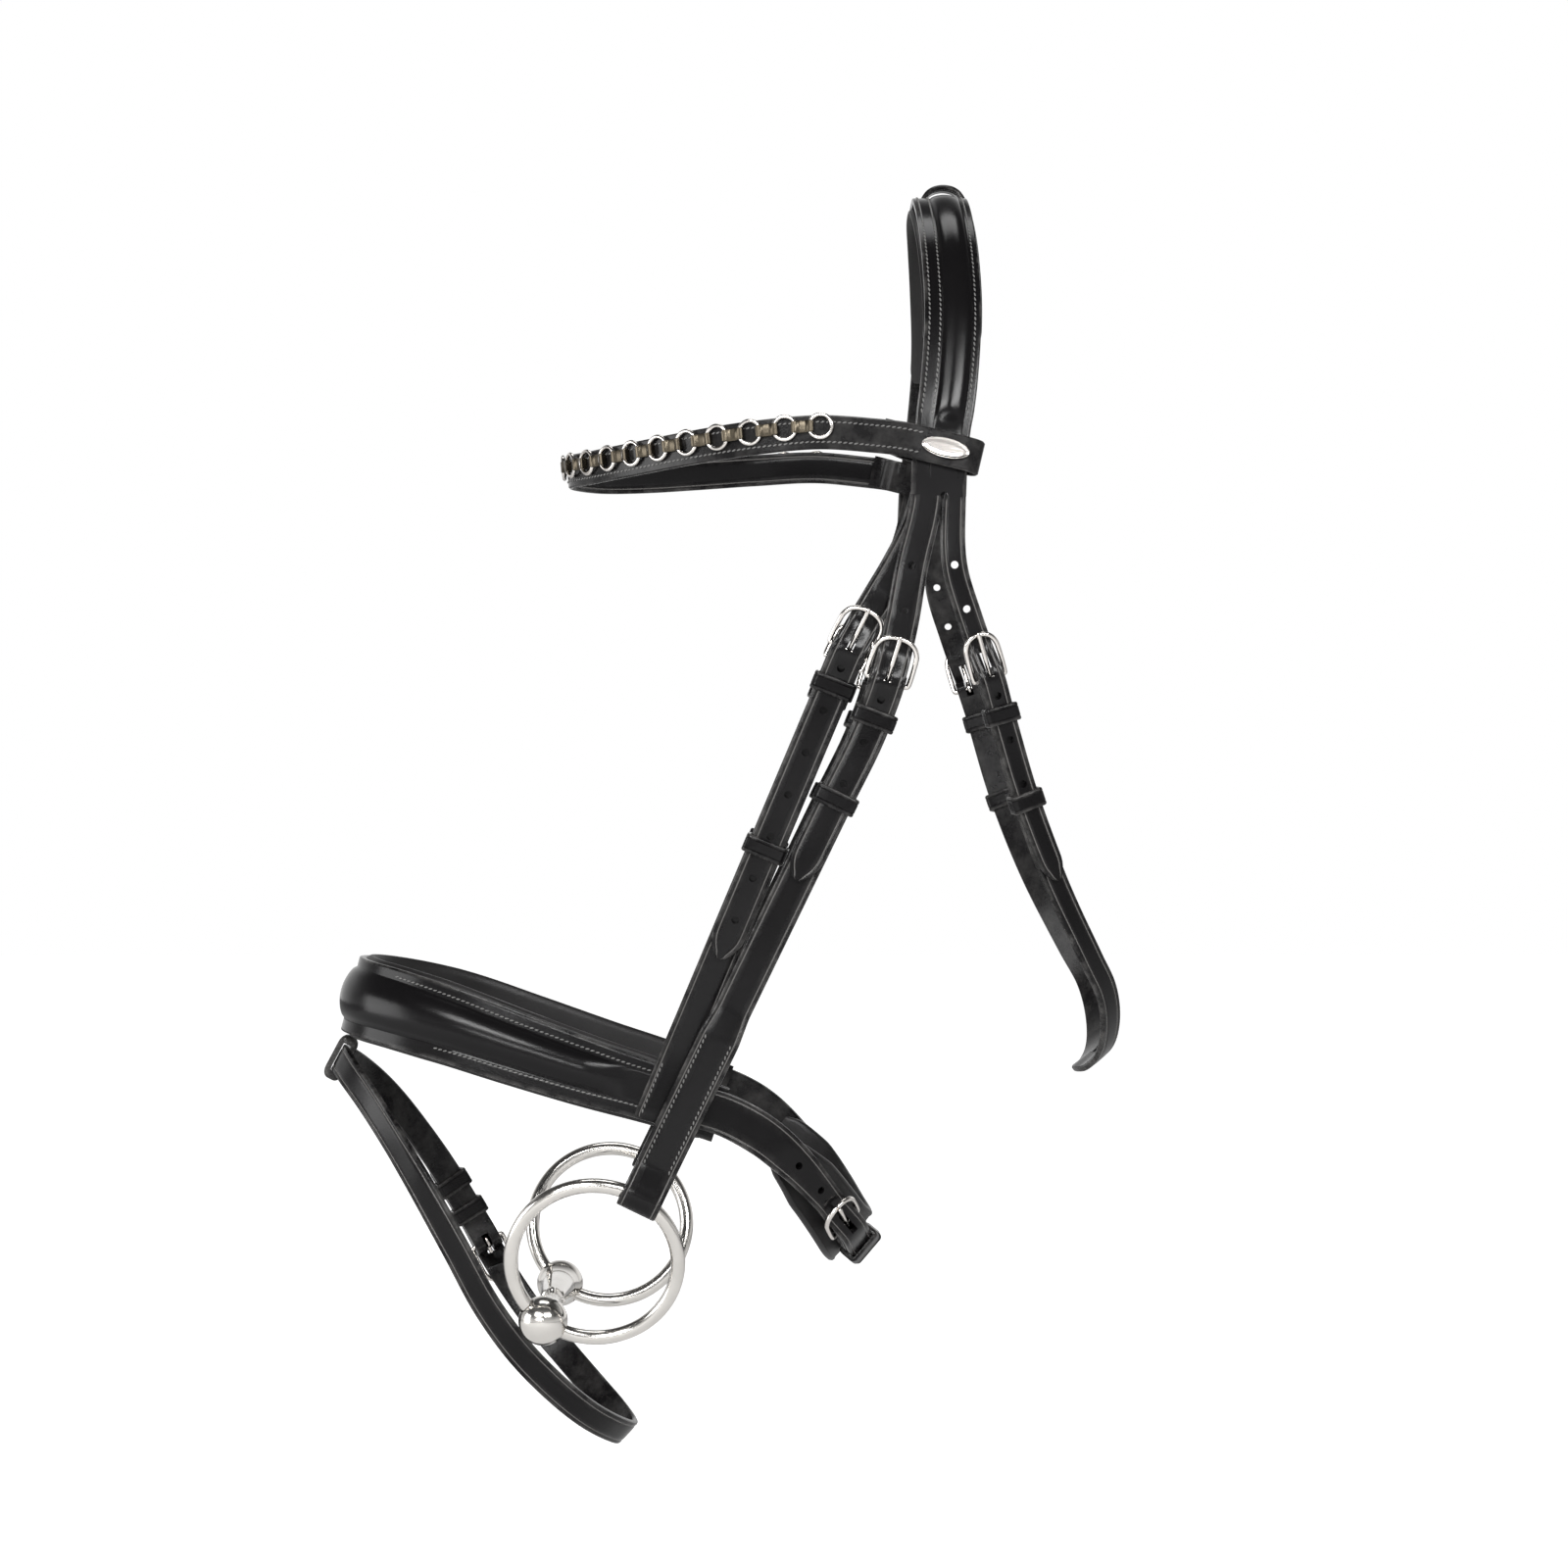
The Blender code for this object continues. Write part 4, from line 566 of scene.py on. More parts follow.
def worked(item, joined=(), cut=()):
    """Joins shapes to a piece, cuts others out of it, and makes the result its mesh."""
    tools = []
    points = [vertex.co.copy() for vertex in item.data.vertices]
    rims = [kept.value for kept in item.data.attributes["rim"].data]
    for some_points, _, some_rims in joined:
        points += some_points
        rims += some_rims
    known = KDTree(len(points))
    for number, point in enumerate(points):
        known.insert(point, number)
    known.balance()
    for shapes, operation in ((joined, "UNION"), (cut, "DIFFERENCE")):
        if shapes:
            tool = solid(f"{item.name}_{operation.lower()}", together(shapes))
            step = item.modifiers.new(operation.lower(), "BOOLEAN")
            step.operation, step.solver, step.use_self, step.object = operation, "EXACT", True, tool
            tools.append(tool)
    settled(item)
    for tool in tools:
        bpy.data.objects.remove(tool)
    for vertex, kept in zip(item.data.vertices, item.data.attributes["rim"].data):
        _, number, away = known.find(vertex.co)
        kept.value = rims[number] if away < SAME_PLACE else 0
    shaded(item)
    evened = item.modifiers.new("evened", "WEIGHTED_NORMAL")
    evened.keep_sharp = True
    settled(item)
    return item


BRIDLE_LOOK = {"roughness": 0.19, "cells": 1500.0, "depth": 0.00007, "shine": 0.18}
BRIDLE_LEATHER = hide("bridle_leather", BRIDLE_BLACK, BRIDLE_EDGE_WEAR_AND_HIGHLIGHT, **BRIDLE_LOOK)


def strap(name, shape, node_name, joined=(), cut=()):
    """A worked piece of bridle leather that stands for one node."""
    item = worked(solid(name, shape, BRIDLE_LEATHER), joined, cut)
    return finished(item, "strap_leather", node_name)


def both_sides(shapes):
    """Shapes with their likes on the off side."""
    return [*shapes, *(off_side(one) for one in shapes)]


nose = Line(placed(NOSE_SHARES), core(*placed(NOSE_CORE_SHARES)), mirrored=True)
headstrap_low = CROWN_PAD_THICK + GAP
headpiece_low = headstrap_low + HEADSTRAP_THICK + GAP * 1.5
lift = headstrap_low + HEADSTRAP_THICK / 2
top = [crown.at(CROWN_SPLIT * far, aside * CROWN_WIDTH, lift) for far, aside in TINE_START_SHARES]
bar = place(*FRONT_BAR_SHARE)
foot = nose.at(HANGER_FOOT_SHARE * nose.length, 0, NOSE_PAD_THICK + NOSE_THICK + GAP * 2 + STRAP_THICK / 2)
down = Vector((foot.x - bar.x, 0, foot.z - bar.z)).normalized()
upper, lower = foot - down * (NOSE_END_WIDTH * 0.75), foot + down * (NOSE_END_WIDTH * 0.5)
points = [*top, *placed(FRONT_TINE_SHARES), bar]
points += [bar.lerp(upper, far) for far in (0.12, 0.3, 0.5, 0.7, 0.9)] + [upper, foot, lower]
front_line = Line(points, middle_plane, zero=5)
front = Buckle(front_line, 0, 1, STRAP_WIDTH / 2)

half, sunk = TINE_WIDTH / 2, GAP / 4
high = headstrap_low + HEADSTRAP_THICK
near = [(along, headstrap_low, high, half) for along in (POLL_FLAT, CROWN_SPLIT * HEADSTRAP_SPLIT_SHARE)]
thick, wide = HEADSTRAP_THICK / 2 - sunk, half - sunk
lead = [(-front_line.start - POLL_FLAT, -thick, thick, wide * 0.95)]
lead += [(along, -thick, thick, wide) for along in (-front_line.start + POLL_FLAT, -FRAME_LENGTH * 1.5)]
stations = front.tine(FRONT_TAIL, wide, lead)
holes = [front.tine_cut()]
for number in range(1, 8):
    along = -front.slot()[1] + HOLE_PITCH * number
    if along < FRONT_TAIL - half * 2:
        holes.append(punched(front_line, along, lift_at(stations, along)))
tines = both_sides([swept(front_line, stations, strap_section)])
shape = swept(crown, to_both_sides(near), strap_section)
strap("headstrap_leather", shape, "noseband_headstrap", tines, both_sides(holes))

# The headpiece. Bridle leather with a raised roll down its middle and a row of stitches each side
# of it, split below the browband into a cheek tine and a throat tine, with a round end to the split.
THROAT_WIDTH = 0.0115
CROWN_ROLL, ROLL_SHARPNESS, ROLL_STEPS = 0.0020, 0.62, 18
BROW_WIDTH, BROW_PLACE = 0.015, 0.160
SPLIT_HOLE = 0.0016
CHEEK_TAIL, THROAT_TAIL = 0.095, 0.094
CHEEK_SET_BACK, CHEEK_DROP_BACK, CHEEK_STAND_OFF = 0.0209, 0.0045, 0.0070
EYE_WIDTH = 0.0185
ROLL_FROM_SHARE, ROLL_TO_SHARE = -0.66, 0.32
CHEEK_TINE_SHARE, CHEEK_LEAD_SHARES = (-0.052, 1.044, 0.334), (0.323, -0.077, 1.297)
CHEEK_BEND_SHARE, CHEEK_EYE_SHARE = (-0.112, 1.005, 0.474), (-0.445, 0.8955, 0.886)
THROAT_SHARES = [
    (0.222, 0, 0.777), (0.232, 0.10, 0.776), (0.247, 0.24, 0.765), (0.253, 0.42, 0.738), (0.242, 0.58, 0.705),
    (0.219, 0.69, 0.678), (0.162, 0.845, 0.608), (0.118, 0.935, 0.540),
]
THROAT_BAR_SHARE = (0.063, 0.989, 0.429)
THROAT_TINE_SHARES = [(0.034, 1.010, 0.378), (0.012, 1.040, 0.334)]
THROAT_CORE_SHARES = [(0.015, 0, 0.30), (0.05, 0, 0.65)]
SEAM_ASIDE_SHARE, EDGE_SEAM_SHARE = 0.12, 0.82
STITCH_PITCH, THREAD, SEAM_STEP = 0.0024, 0.00078, 0.004
STITCH_SIZES = {"Pitch": STITCH_PITCH, "Thread": THREAD, "Slant": 0.3}
STITCH_SHARE, STITCH_LIFT, RAISED_STITCH_LIFT = 0.86, THREAD * 0.15, THREAD * 0.2


def rolled_section(low, high, half, roll, start, end):
    """The section of a strap with a raised roll between two shares of its half width."""
    ease = EDGE_EASE
    edge = [(half - ease, low, 0.3), (half, low + ease, 1), (half, high - ease, 1)]
    edge += [(half - ease * 0.3, high - ease * 0.3, 1), (half - ease, high, 0.6)]
    ring = edge + [(half * (end + (1 - end) * far), high, 0) for far in (0.7, 0.35, 0.1)]
    ring.append((half * (end + 0.03), high - CREASE_DEPTH * 0.6, 0.2))
    for step in range(ROLL_STEPS + 1):
        far = step / ROLL_STEPS
        crest = max(math.sin(math.pi * far), 0) ** ROLL_SHARPNESS
        ring.append((half * (end + (start - end) * far), high + roll * crest, 0))
    ring.append((half * (start - 0.03), high - CREASE_DEPTH * 0.6, 0.2))
    ring += [(half * (start - (1 + start) * far), high, 0) for far in (0.1, 0.35, 0.7)]
    return ring + other_half(edge)


def stitch(tree, sizes):
    """One stitch: a long bead of thread that lies aslant."""
    bead = node(tree, "GeometryNodeMeshUVSphere", {"Segments": 8, "Rings": 5, "Radius": 0.5}).outputs["Mesh"]
    long = maths(tree, "MULTIPLY", sizes["Pitch"], STITCH_SHARE)
    thread = sizes["Thread"]
    size = node(tree, "ShaderNodeCombineXYZ", {"X": long, "Y": thread, "Z": thread}).outputs[0]
    slant = node(tree, "ShaderNodeCombineXYZ", {"Z": sizes["Slant"]}).outputs[0]
    shape = {"Geometry": bead, "Scale": size, "Rotation": slant}
    return node(tree, "GeometryNodeTransform", shape).outputs[0]


def row_tree(name, finish, sizes, part):
    """Geometry nodes that set one part along a guide at an even pitch, facing out from the leather."""
    tree, given, put = group(name, "GeometryNodeTree", {"Guide": None, **sizes}, ("Row",))
    path = node(tree, "GeometryNodeMeshToCurve", {"Mesh": given["Guide"]}).outputs[0]
    marks = node(tree, "GeometryNodeResampleCurve", {"Curve": path, "Length": given["Pitch"]}, mode="LENGTH")
    tangent = node(tree, "GeometryNodeInputTangent").outputs[0]
    outward = node(tree, "GeometryNodeInputNamedAttribute", {"Name": "out"}, data_type="FLOAT_VECTOR")
    laid = node(tree, "FunctionNodeAlignRotationToVector", {"Vector": tangent}, axis="X").outputs[0]
    facing = {"Rotation": laid, "Vector": outward.outputs["Attribute"]}
    turned = node(tree, "FunctionNodeAlignRotationToVector", facing, axis="Z", pivot_axis="X").outputs[0]
    row = {"Points": marks.outputs[0], "Instance": part(tree, given), "Rotation": turned}
    many = node(tree, "GeometryNodeInstanceOnPoints", row).outputs[0]
    real = node(tree, "GeometryNodeRealizeInstances", {0: many}).outputs[0]
    done = node(tree, "GeometryNodeSetMaterial", {"Geometry": real, "Material": finish})
    feed(tree, put, {"Row": done.outputs[0]})
    return tree


def laid_out(name, runs, tree, sizes):
    """Runs a geometry node tree along chains of points, with its sizes set by name.

    Each point has with it the way out from the leather.
    """
    points, edges, outs = [], [], []
    for run in runs:
        edges += [(len(points) + i, len(points) + i + 1) for i in range(len(run) - 1)]
        points += [point for point, _ in run]
        outs += [value for _, out in run for value in out]
    mesh = bpy.data.meshes.new(name)
    mesh.from_pydata(points, edges, [])
    mesh.attributes.new("out", "FLOAT_VECTOR", "POINT").data.foreach_set("vector", outs)
    item = bpy.data.objects.new(name, mesh)
    bpy.context.scene.collection.objects.link(item)
    step = item.modifiers.new("laid", "NODES")
    step.node_group = tree
    sockets = {one.name: one.identifier for one in tree.interface.items_tree if one.in_out == "INPUT"}
    for label, value in sizes.items():
        step[sockets[label]] = value
    return shaded(settled(item), 60)


def seam(line, start, end, across, lift):
    """A run of a seam along a strap. Across and lift are fixed or follow the distance."""
    run = []
    count = max(2, math.ceil(abs(end - start) / SEAM_STEP))
    for number in range(count + 1):
        along = start + (end - start) * number / count
        where, _, out, side = line.frame(along)
        aside = across(along) if callable(across) else across
        up = lift(along) if callable(lift) else lift
        run.append((where + side * aside + out * up, out))
    return run


def stitches(name, runs):
    """Sews stitches along seams."""
    return finished(laid_out(name, runs, SADDLE_STITCHES, STITCH_SIZES), "strap_leather")


THREAD_LOOK = {"roughness": 0.4, "cells": 3000.0, "depth": 0.00008, "wear_and_highlight": 0}
# The thread is near black; this lighter grey is painted highlight on the stitches.
THREAD_WITH_PAINTED_HIGHLIGHT = hide("waxed_thread_painted_highlight", (0.12, 0.118, 0.115), (0.2, 0.2, 0.2), **THREAD_LOOK)
SADDLE_STITCHES = row_tree("saddle_stitches", THREAD_WITH_PAINTED_HIGHLIGHT, STITCH_SIZES, stitch)

where, way, out, side = front_line.frame(0)
cheek_bar = where - side * CHEEK_SET_BACK + way * CHEEK_DROP_BACK + out * CHEEK_STAND_OFF
lift = headpiece_low + TINE_THICK / 2
aside = (CROWN_WIDTH - TINE_WIDTH) / 2
points = [crown.at(CROWN_SPLIT + step, aside, lift) for step in (-CROWN_WIDTH / 2, 0)]
lead = cheek_bar + Vector(CHEEK_LEAD_SHARES) * FRAME_LENGTH
bend, eye = place(*CHEEK_BEND_SHARE), place(*CHEEK_EYE_SHARE)
points += [place(*CHEEK_TINE_SHARE), lead, cheek_bar, bend]
points += [bend.lerp(eye, far) for far in (0.15, 0.35, 0.6, 0.85, 1)]
points.append(eye + (eye - bend).normalized() * EYE_WIDTH)
cheek_line = Line(points, middle_plane, zero=4)
cheek = Buckle(cheek_line, 0, 1, STRAP_WIDTH / 2)
aside = (THROAT_WIDTH - CROWN_WIDTH) / 2
points = placed([*THROAT_SHARES, THROAT_BAR_SHARE, *THROAT_TINE_SHARES])
points += [crown.at(CROWN_SPLIT + step, aside, lift) for step in (0, -CROWN_WIDTH / 2)]
throat_line = Line(points, core(*placed(THROAT_CORE_SHARES)), mirrored=True)
throat_place = throat_line.gone[len(THROAT_SHARES) * Line.STEPS]
throat = Buckle(throat_line, throat_place, -1, THROAT_WIDTH / 2)

low, high, half = headpiece_low, headpiece_low + TINE_THICK, CROWN_WIDTH / 2
near = [
    (POLL_FLAT, half, CROWN_ROLL * 0.6),
    (POLL_FLAT * 4, half, CROWN_ROLL),
    (BROW_PLACE - BROW_WIDTH * 1.1, half, CROWN_ROLL),
    (BROW_PLACE - BROW_WIDTH * 0.7, half * 0.97, 0),
    (CROWN_SPLIT, half * 0.97, 0),
]
near = [(along, low, high, wide, roll, ROLL_FROM_SHARE, ROLL_TO_SHARE) for along, wide, roll in near]
shape = swept(crown, to_both_sides(near), rolled_section)
thick = TINE_THICK / 2 - sunk
tines, holes = [], []
for buckle, tail, width, start in (
    (cheek, CHEEK_TAIL, TINE_WIDTH, cheek_line.start),
    (throat, THROAT_TAIL, THROAT_WIDTH, throat_line.gone[-1] - throat_place),
):
    wide = width / 2 - sunk
    lead = [(-start + CROWN_WIDTH * 0.2, -thick, thick, wide * 0.92)]
    lead.append((-FRAME_LENGTH * 1.5, -thick, thick, wide))
    stations = buckle.tine(tail, wide, lead)
    tines.append(swept(buckle.line, buckle.on_line(stations), strap_section))
    for number in range(-2, 4):
        along = -buckle.slot()[1] + HOLE_PITCH * number
        if number != 0 and -start + CROWN_WIDTH < along < tail - wide * 2:
            holes.append(punched(buckle.line, buckle.place + buckle.sense * along, lift_at(stations, along)))
    holes.append(buckle.tine_cut())
aside = CROWN_WIDTH / 2 - TINE_WIDTH
ends = (crown.at(CROWN_SPLIT, aside, low - OVERRUN), crown.at(CROWN_SPLIT, aside, high + OVERRUN))
holes.append(rod(*ends, SPLIT_HOLE))
strap("headpiece_leather", shape, "headpiece", both_sides(tines), both_sides(holes))
end = BROW_PLACE - BROW_WIDTH
shares = (ROLL_FROM_SHARE - SEAM_ASIDE_SHARE, ROLL_TO_SHARE + SEAM_ASIDE_SHARE, EDGE_SEAM_SHARE)
stitches("headpiece_stitches", [seam(crown, -end, end, half * far, high + STITCH_LIFT) for far in shares])

# The arch on top of the headpiece. A narrow thin tab of leather, bent up over the roll at the poll
# and sewn down at both feet, that a fly fringe or ear cover can be held by.
CROWN_LOOP_WIDTH, CROWN_LOOP_THICK, CROWN_LOOP_RISE = 0.012, 0.0022, 0.0038
LOOP_MIDDLE_SHARE, LOOP_HALF_SHARE = -0.17, 0.49
CROWN_LOOP_SHARES = [(-1.16, 0), (-1.03, 0.30), (-0.83, 0.62), (-0.48, 0.89), (0, 1)]
CROWN_LOOP_SHARES += [(-aside, up) for aside, up in reversed(CROWN_LOOP_SHARES[:-1])]


def smoothed(points, count, closed=False):
    """More points on a smooth curve through a few."""
    made = []
    last = len(points) - 1
    for i in range(len(points) if closed else last):
        a = points[i - 1] if closed or i > 0 else points[0] * 2 - points[1]
        b, c = points[i], points[(i + 1) % len(points)]
        d = points[(i + 2) % len(points)] if closed or i + 2 <= last else c * 2 - b
        for step in range(count):
            t = step / count
            bent = (a * 2 - b * 5 + c * 4 - d) * t**2
            made.append(((c - a) * t + bent + (b * 3 - a - c * 3 + d) * t**3) / 2 + b)
    return made if closed else made + [points[-1]]


def ribbon(places, across, low, high, half):
    """A strap's skin along places, with the way across it at each of them."""
    rings = []
    last = len(places) - 1
    for number, where in enumerate(places):
        way = (places[min(number + 1, last)] - places[max(number - 1, 0)]).normalized()
        aside = (across[number] - way * across[number].dot(way)).normalized()
        out = way.cross(aside)
        section = strap_section(low, high, half)
        rings.append([(where + aside * wide + out * lift, rim) for wide, lift, rim in section])
    return skinned(rings)


edge = CROWN_WIDTH / 2 * LOOP_HALF_SHARE + CROWN_LOOP_THICK / 2 + 2 * GAP
top = headpiece_low + TINE_THICK + CROWN_ROLL + CROWN_LOOP_RISE
foot = headpiece_low + TINE_THICK + GAP
middle = CROWN_WIDTH / 2 * LOOP_MIDDLE_SHARE
arch = [crown.at(0, middle + edge * aside, foot + (top - foot) * up) for aside, up in CROWN_LOOP_SHARES]
arch = smoothed(arch, 4)
half = CROWN_LOOP_THICK / 2
shape = ribbon(arch, [Vector((0, 1, 0))] * len(arch), -half, half, CROWN_LOOP_WIDTH / 2)
piece("crown_loop_leather", shape, BRIDLE_LEATHER, "strap_leather", "crown_loop")

# The browband. Two layers of bridle leather stitched along both edges, across the forehead below
# the ears, and folded back at each end into a loop that the headpiece runs through.
BROW_THICK, BROW_LOOP_SLOPE, BROW_LOOP_INNER = 0.0022, 0.24, 0.022
BROW_SHARES = [
    (-0.565, 0, 0.235), (-0.526, 0.305, 0.235), (-0.457, 0.561, 0.231), (-0.375, 0.772, 0.225),
    (-0.285, 0.928, 0.219), (-0.175, 1.011, 0.215), (-0.114, 1.042, 0.218),
]
BROW_CORE_SHARES = [(-0.317, 0, 0.224), (0, 0, 0.23)]
BROW_STEPS, BROW_SEAM_INSET = 80, 0.0031
brow_outer = headpiece_low + TINE_THICK + 2.5 * GAP + BROW_THICK / 2
brow_inner = headstrap_low - 2 * GAP - BROW_THICK / 2
brow_foot, _, poll_out, _ = crown.frame(BROW_PLACE)
brow_way = Vector((-1, 0, BROW_LOOP_SLOPE)).normalized()


def loop_at(forward, lift):
    """A point of the browband's end loop, from the headpiece's middle."""
    return brow_foot + brow_way * forward + poll_out * lift


points = placed(BROW_SHARES) + [loop_at(step * CROWN_WIDTH, brow_outer) for step in (0.62, 0, -0.5)]
brow = Line(points, core(*placed(BROW_CORE_SHARES)), mirrored=True)
middle, reach, fold = (brow_outer + brow_inner) / 2, CROWN_WIDTH / 2 + GAP * 2, (brow_outer - brow_inner) / 2
loop = [
    (reach + BROW_LOOP_INNER * 0.6, brow_outer - BROW_THICK - GAP * 2),
    (reach + BROW_LOOP_INNER * 0.34, brow_outer - BROW_THICK * 1.4),
    (reach + BROW_LOOP_INNER * 0.1, brow_inner + fold * 0.25),
    (reach * 0.7, brow_inner),
    (0, brow_inner),
    (-reach, brow_inner),
    (-reach - fold * 0.75, middle - fold * 0.6),
    (-reach - fold, middle),
    (-reach - fold * 0.75, middle + fold * 0.6),
    (-reach * 0.9, brow_outer),
    (0, brow_outer),
    (reach, brow_outer),
]
upright = brow_way.cross(poll_out)
near = smoothed([loop_at(forward, lift) for forward, lift in loop], 5)
across = [upright] * len(near)
end = brow.length - CROWN_WIDTH * 1.2
for step in range(BROW_STEPS + 1):
    place_on, _, _, side = brow.frame(end + (POLL_FLAT / 4 - end) * step / BROW_STEPS)
    near.append(place_on)
    across.append(-side)
near += [flipped(point) for point in reversed(near)]
across += [flipped(way) for way in reversed(across)]
half = BROW_THICK / 2
shape = ribbon(near, across, -half, half, BROW_WIDTH / 2)
piece("browband_leather", shape, BRIDLE_LEATHER, "strap_leather", "browband")

end = brow.length - CROWN_WIDTH * 0.9
aside = BROW_WIDTH / 2 - BROW_SEAM_INSET
stitches("browband_stitches", [seam(brow, -end, end, step, half + STITCH_LIFT) for step in (-aside, aside)])

# The browband's chain. Bright rings of round wire in a row along the front, held to the leather by
# flat darkened links that run from ring to ring.
RING_PITCH, RING_RADIUS, RING_WIRE = 0.0155, 0.0051, 0.0018
RING_STAND, RING_RISE = 0.0006, 0.0024
RINGS_EACH_SIDE, GUIDE_STEPS = 10, 160
RING_SIZES = {"Pitch": RING_PITCH * 0.9999, "Radius": RING_RADIUS, "Wire": RING_WIRE}
LINK_HALF, LINK_THICK, LINK_START_SHARE, LINK_BULGE_SHARE, LINK_STEPS = 0.0027, 0.0010, 0.60, 0.3, 12
LINK_SHARES = [(1, -0.6), (1, 0.6), (0.86, 1), (-0.86, 1), (-1, 0.6), (-1, -0.6), (-0.86, -1), (0.86, -1)]
SCRATCH_SLANT, SCRATCH_STRETCH = (0.4, 0.9, 0.2), (1.0, 6.0, 1.0)


def scratch_group():
    """Metal that has been handled: fine scratches, and slow changes in the polish."""
    sizes = {"Scratches per Metre": 700.0, "Roughness": 0.15, "Spread": 0.1}
    tree, given, put = group("handled_metal", "ShaderNodeTree", sizes, ("Polish", "Height", "Tone"))
    where = node(tree, "ShaderNodeTexCoord").outputs["Object"]
    turn = {"Vector": where, "Rotation": SCRATCH_SLANT, "Scale": SCRATCH_STRETCH}
    longer = node(tree, "ShaderNodeMapping", turn).outputs[0]
    lines = noise(tree, longer, given["Scratches per Metre"], 4.0, roughness=0.7)
    slow = noise(tree, where, 130.0, 3.0)
    both = maths(tree, "MULTIPLY", lines, slow)
    polish = maths(tree, "MULTIPLY_ADD", both, given["Spread"], given["Roughness"])
    feed(tree, put, {"Polish": polish, "Height": lines, "Tone": slow})
    return tree


HANDLED_METAL = scratch_group()


def metal(name, colour, dull, roughness, spread=0.2, scratches=700.0, depth=0.00001):
    """A metal: its colour, a duller tone in patches, its polish and its scratches."""
    made, tree, shader = material(name)
    look = {"Scratches per Metre": scratches, "Roughness": roughness, "Spread": spread}
    handled = node(tree, "ShaderNodeGroup", look, node_tree=HANDLED_METAL).outputs
    toned = blend(tree, handled["Tone"], (*colour, 1), (*dull, 1))
    bump = node(tree, "ShaderNodeBump", {"Height": handled["Height"], "Strength": 0.12, "Distance": depth})
    feed(tree, shader, {"Metallic": 1.0, "Base Color": toned, "Roughness": handled["Polish"]})
    feed(tree, shader, {"Normal": bump.outputs[0]})
    return made


NICKEL = metal("bright_nickel", (0.72, 0.69, 0.66), (0.56, 0.53, 0.50), roughness=0.12)
SMOKED = metal("darkened_nickel", (0.105, 0.09, 0.066), (0.06, 0.05, 0.038), roughness=0.28)


def wire_ring(tree, sizes):
    """A ring of round wire."""
    path = node(tree, "GeometryNodeCurvePrimitiveCircle", {"Resolution": 28, "Radius": sizes["Radius"]})
    half = maths(tree, "MULTIPLY", sizes["Wire"], 0.5)
    section = node(tree, "GeometryNodeCurvePrimitiveCircle", {"Resolution": 10, "Radius": half})
    both = {"Curve": path.outputs[0], "Profile Curve": section.outputs[0]}
    return node(tree, "GeometryNodeCurveToMesh", both).outputs[0]


ring_lift = BROW_THICK / 2 + RING_STAND + RING_WIRE / 2
start = RING_PITCH * RINGS_EACH_SIDE
run = []
for step in range(GUIDE_STEPS + 1):
    along = -start + 2 * start * step / GUIDE_STEPS
    run.append((brow.at(along, -RING_RISE, ring_lift), brow.frame(along)[2]))
ring_row = row_tree("ring_row", NICKEL, RING_SIZES, wire_ring)
rings_piece = laid_out("browband_rings", [run], ring_row, RING_SIZES)
finished(rings_piece, "nickel", "browband_chain")
links = []
for number in range(-RINGS_EACH_SIDE, RINGS_EACH_SIDE):
    inset = RING_RADIUS * LINK_START_SHARE
    start, end = RING_PITCH * number + inset, RING_PITCH * (number + 1) - inset
    rings = []
    for step in range(LINK_STEPS + 1):
        far = step / LINK_STEPS
        place_on, _, out, side = brow.frame(start + (end - start) * far)
        place_on = place_on - side * RING_RISE
        bulge = max(0, 1 - (min(far, 1 - far) / LINK_BULGE_SHARE) ** 2) ** 0.5
        narrow, thin = (0.9, 0.7) if step in (0, LINK_STEPS) else (1, 1)
        half = LINK_HALF * narrow
        thick = LINK_THICK / 2 + (RING_WIRE / 2 + LINK_THICK * 0.15) * bulge * thin
        ring = [place_on + side * (half * a) + out * (ring_lift + thick * up) for a, up in LINK_SHARES]
        rings.append(bare(ring))
    links.append(skinned(rings))
piece("browband_links", together(links), SMOKED, "nickel", angle=45)

# Oval plates on the browband's end loops. Plain nickel plates with a raised rim, riveted to the
# leather over the headpiece, and left blank.
BADGE_LENGTH, BADGE_WIDTH, BADGE_THICK, BADGE_INSET = 0.0215, 0.0090, 0.0016, 0.0046
BADGE_SIDES = 48
BADGE_SHARES = [(0, 0.93), (0.35, 1), (0.8, 0.985), (1, 0.93), (1, 0.88), (0.82, 0.80), (0.76, 0.70)]
BADGE_SHARES += [(0.76, 0.35), (0.76, 0.02)]
SIDES = (("left", False), ("right", True))


def sided(shape, turned):
    """A shape as it is, or turned to the off side."""
    return off_side(shape) if turned else shape


way = (brow_way - poll_out * brow_way.dot(poll_out)).normalized()
side = way.cross(poll_out)
centre = loop_at(BADGE_INSET + BADGE_LENGTH / 2 - reach - fold, brow_outer + BROW_THICK / 2 + GAP)
rings = []
for up, size in BADGE_SHARES:
    long, wide = BADGE_LENGTH / 2 - BADGE_WIDTH / 2 * (1 - size), BADGE_WIDTH / 2 * size
    middle = centre + poll_out * (BADGE_THICK * up)
    rings.append(bare(circle(middle, way * long, side * wide, 1, BADGE_SIDES)))
for side_name, turned in SIDES:
    shape = sided(skinned(rings), turned)
    piece(f"{side_name}_badge_plate", shape, NICKEL, "nickel", f"{side_name}_browband_badge", angle=40)

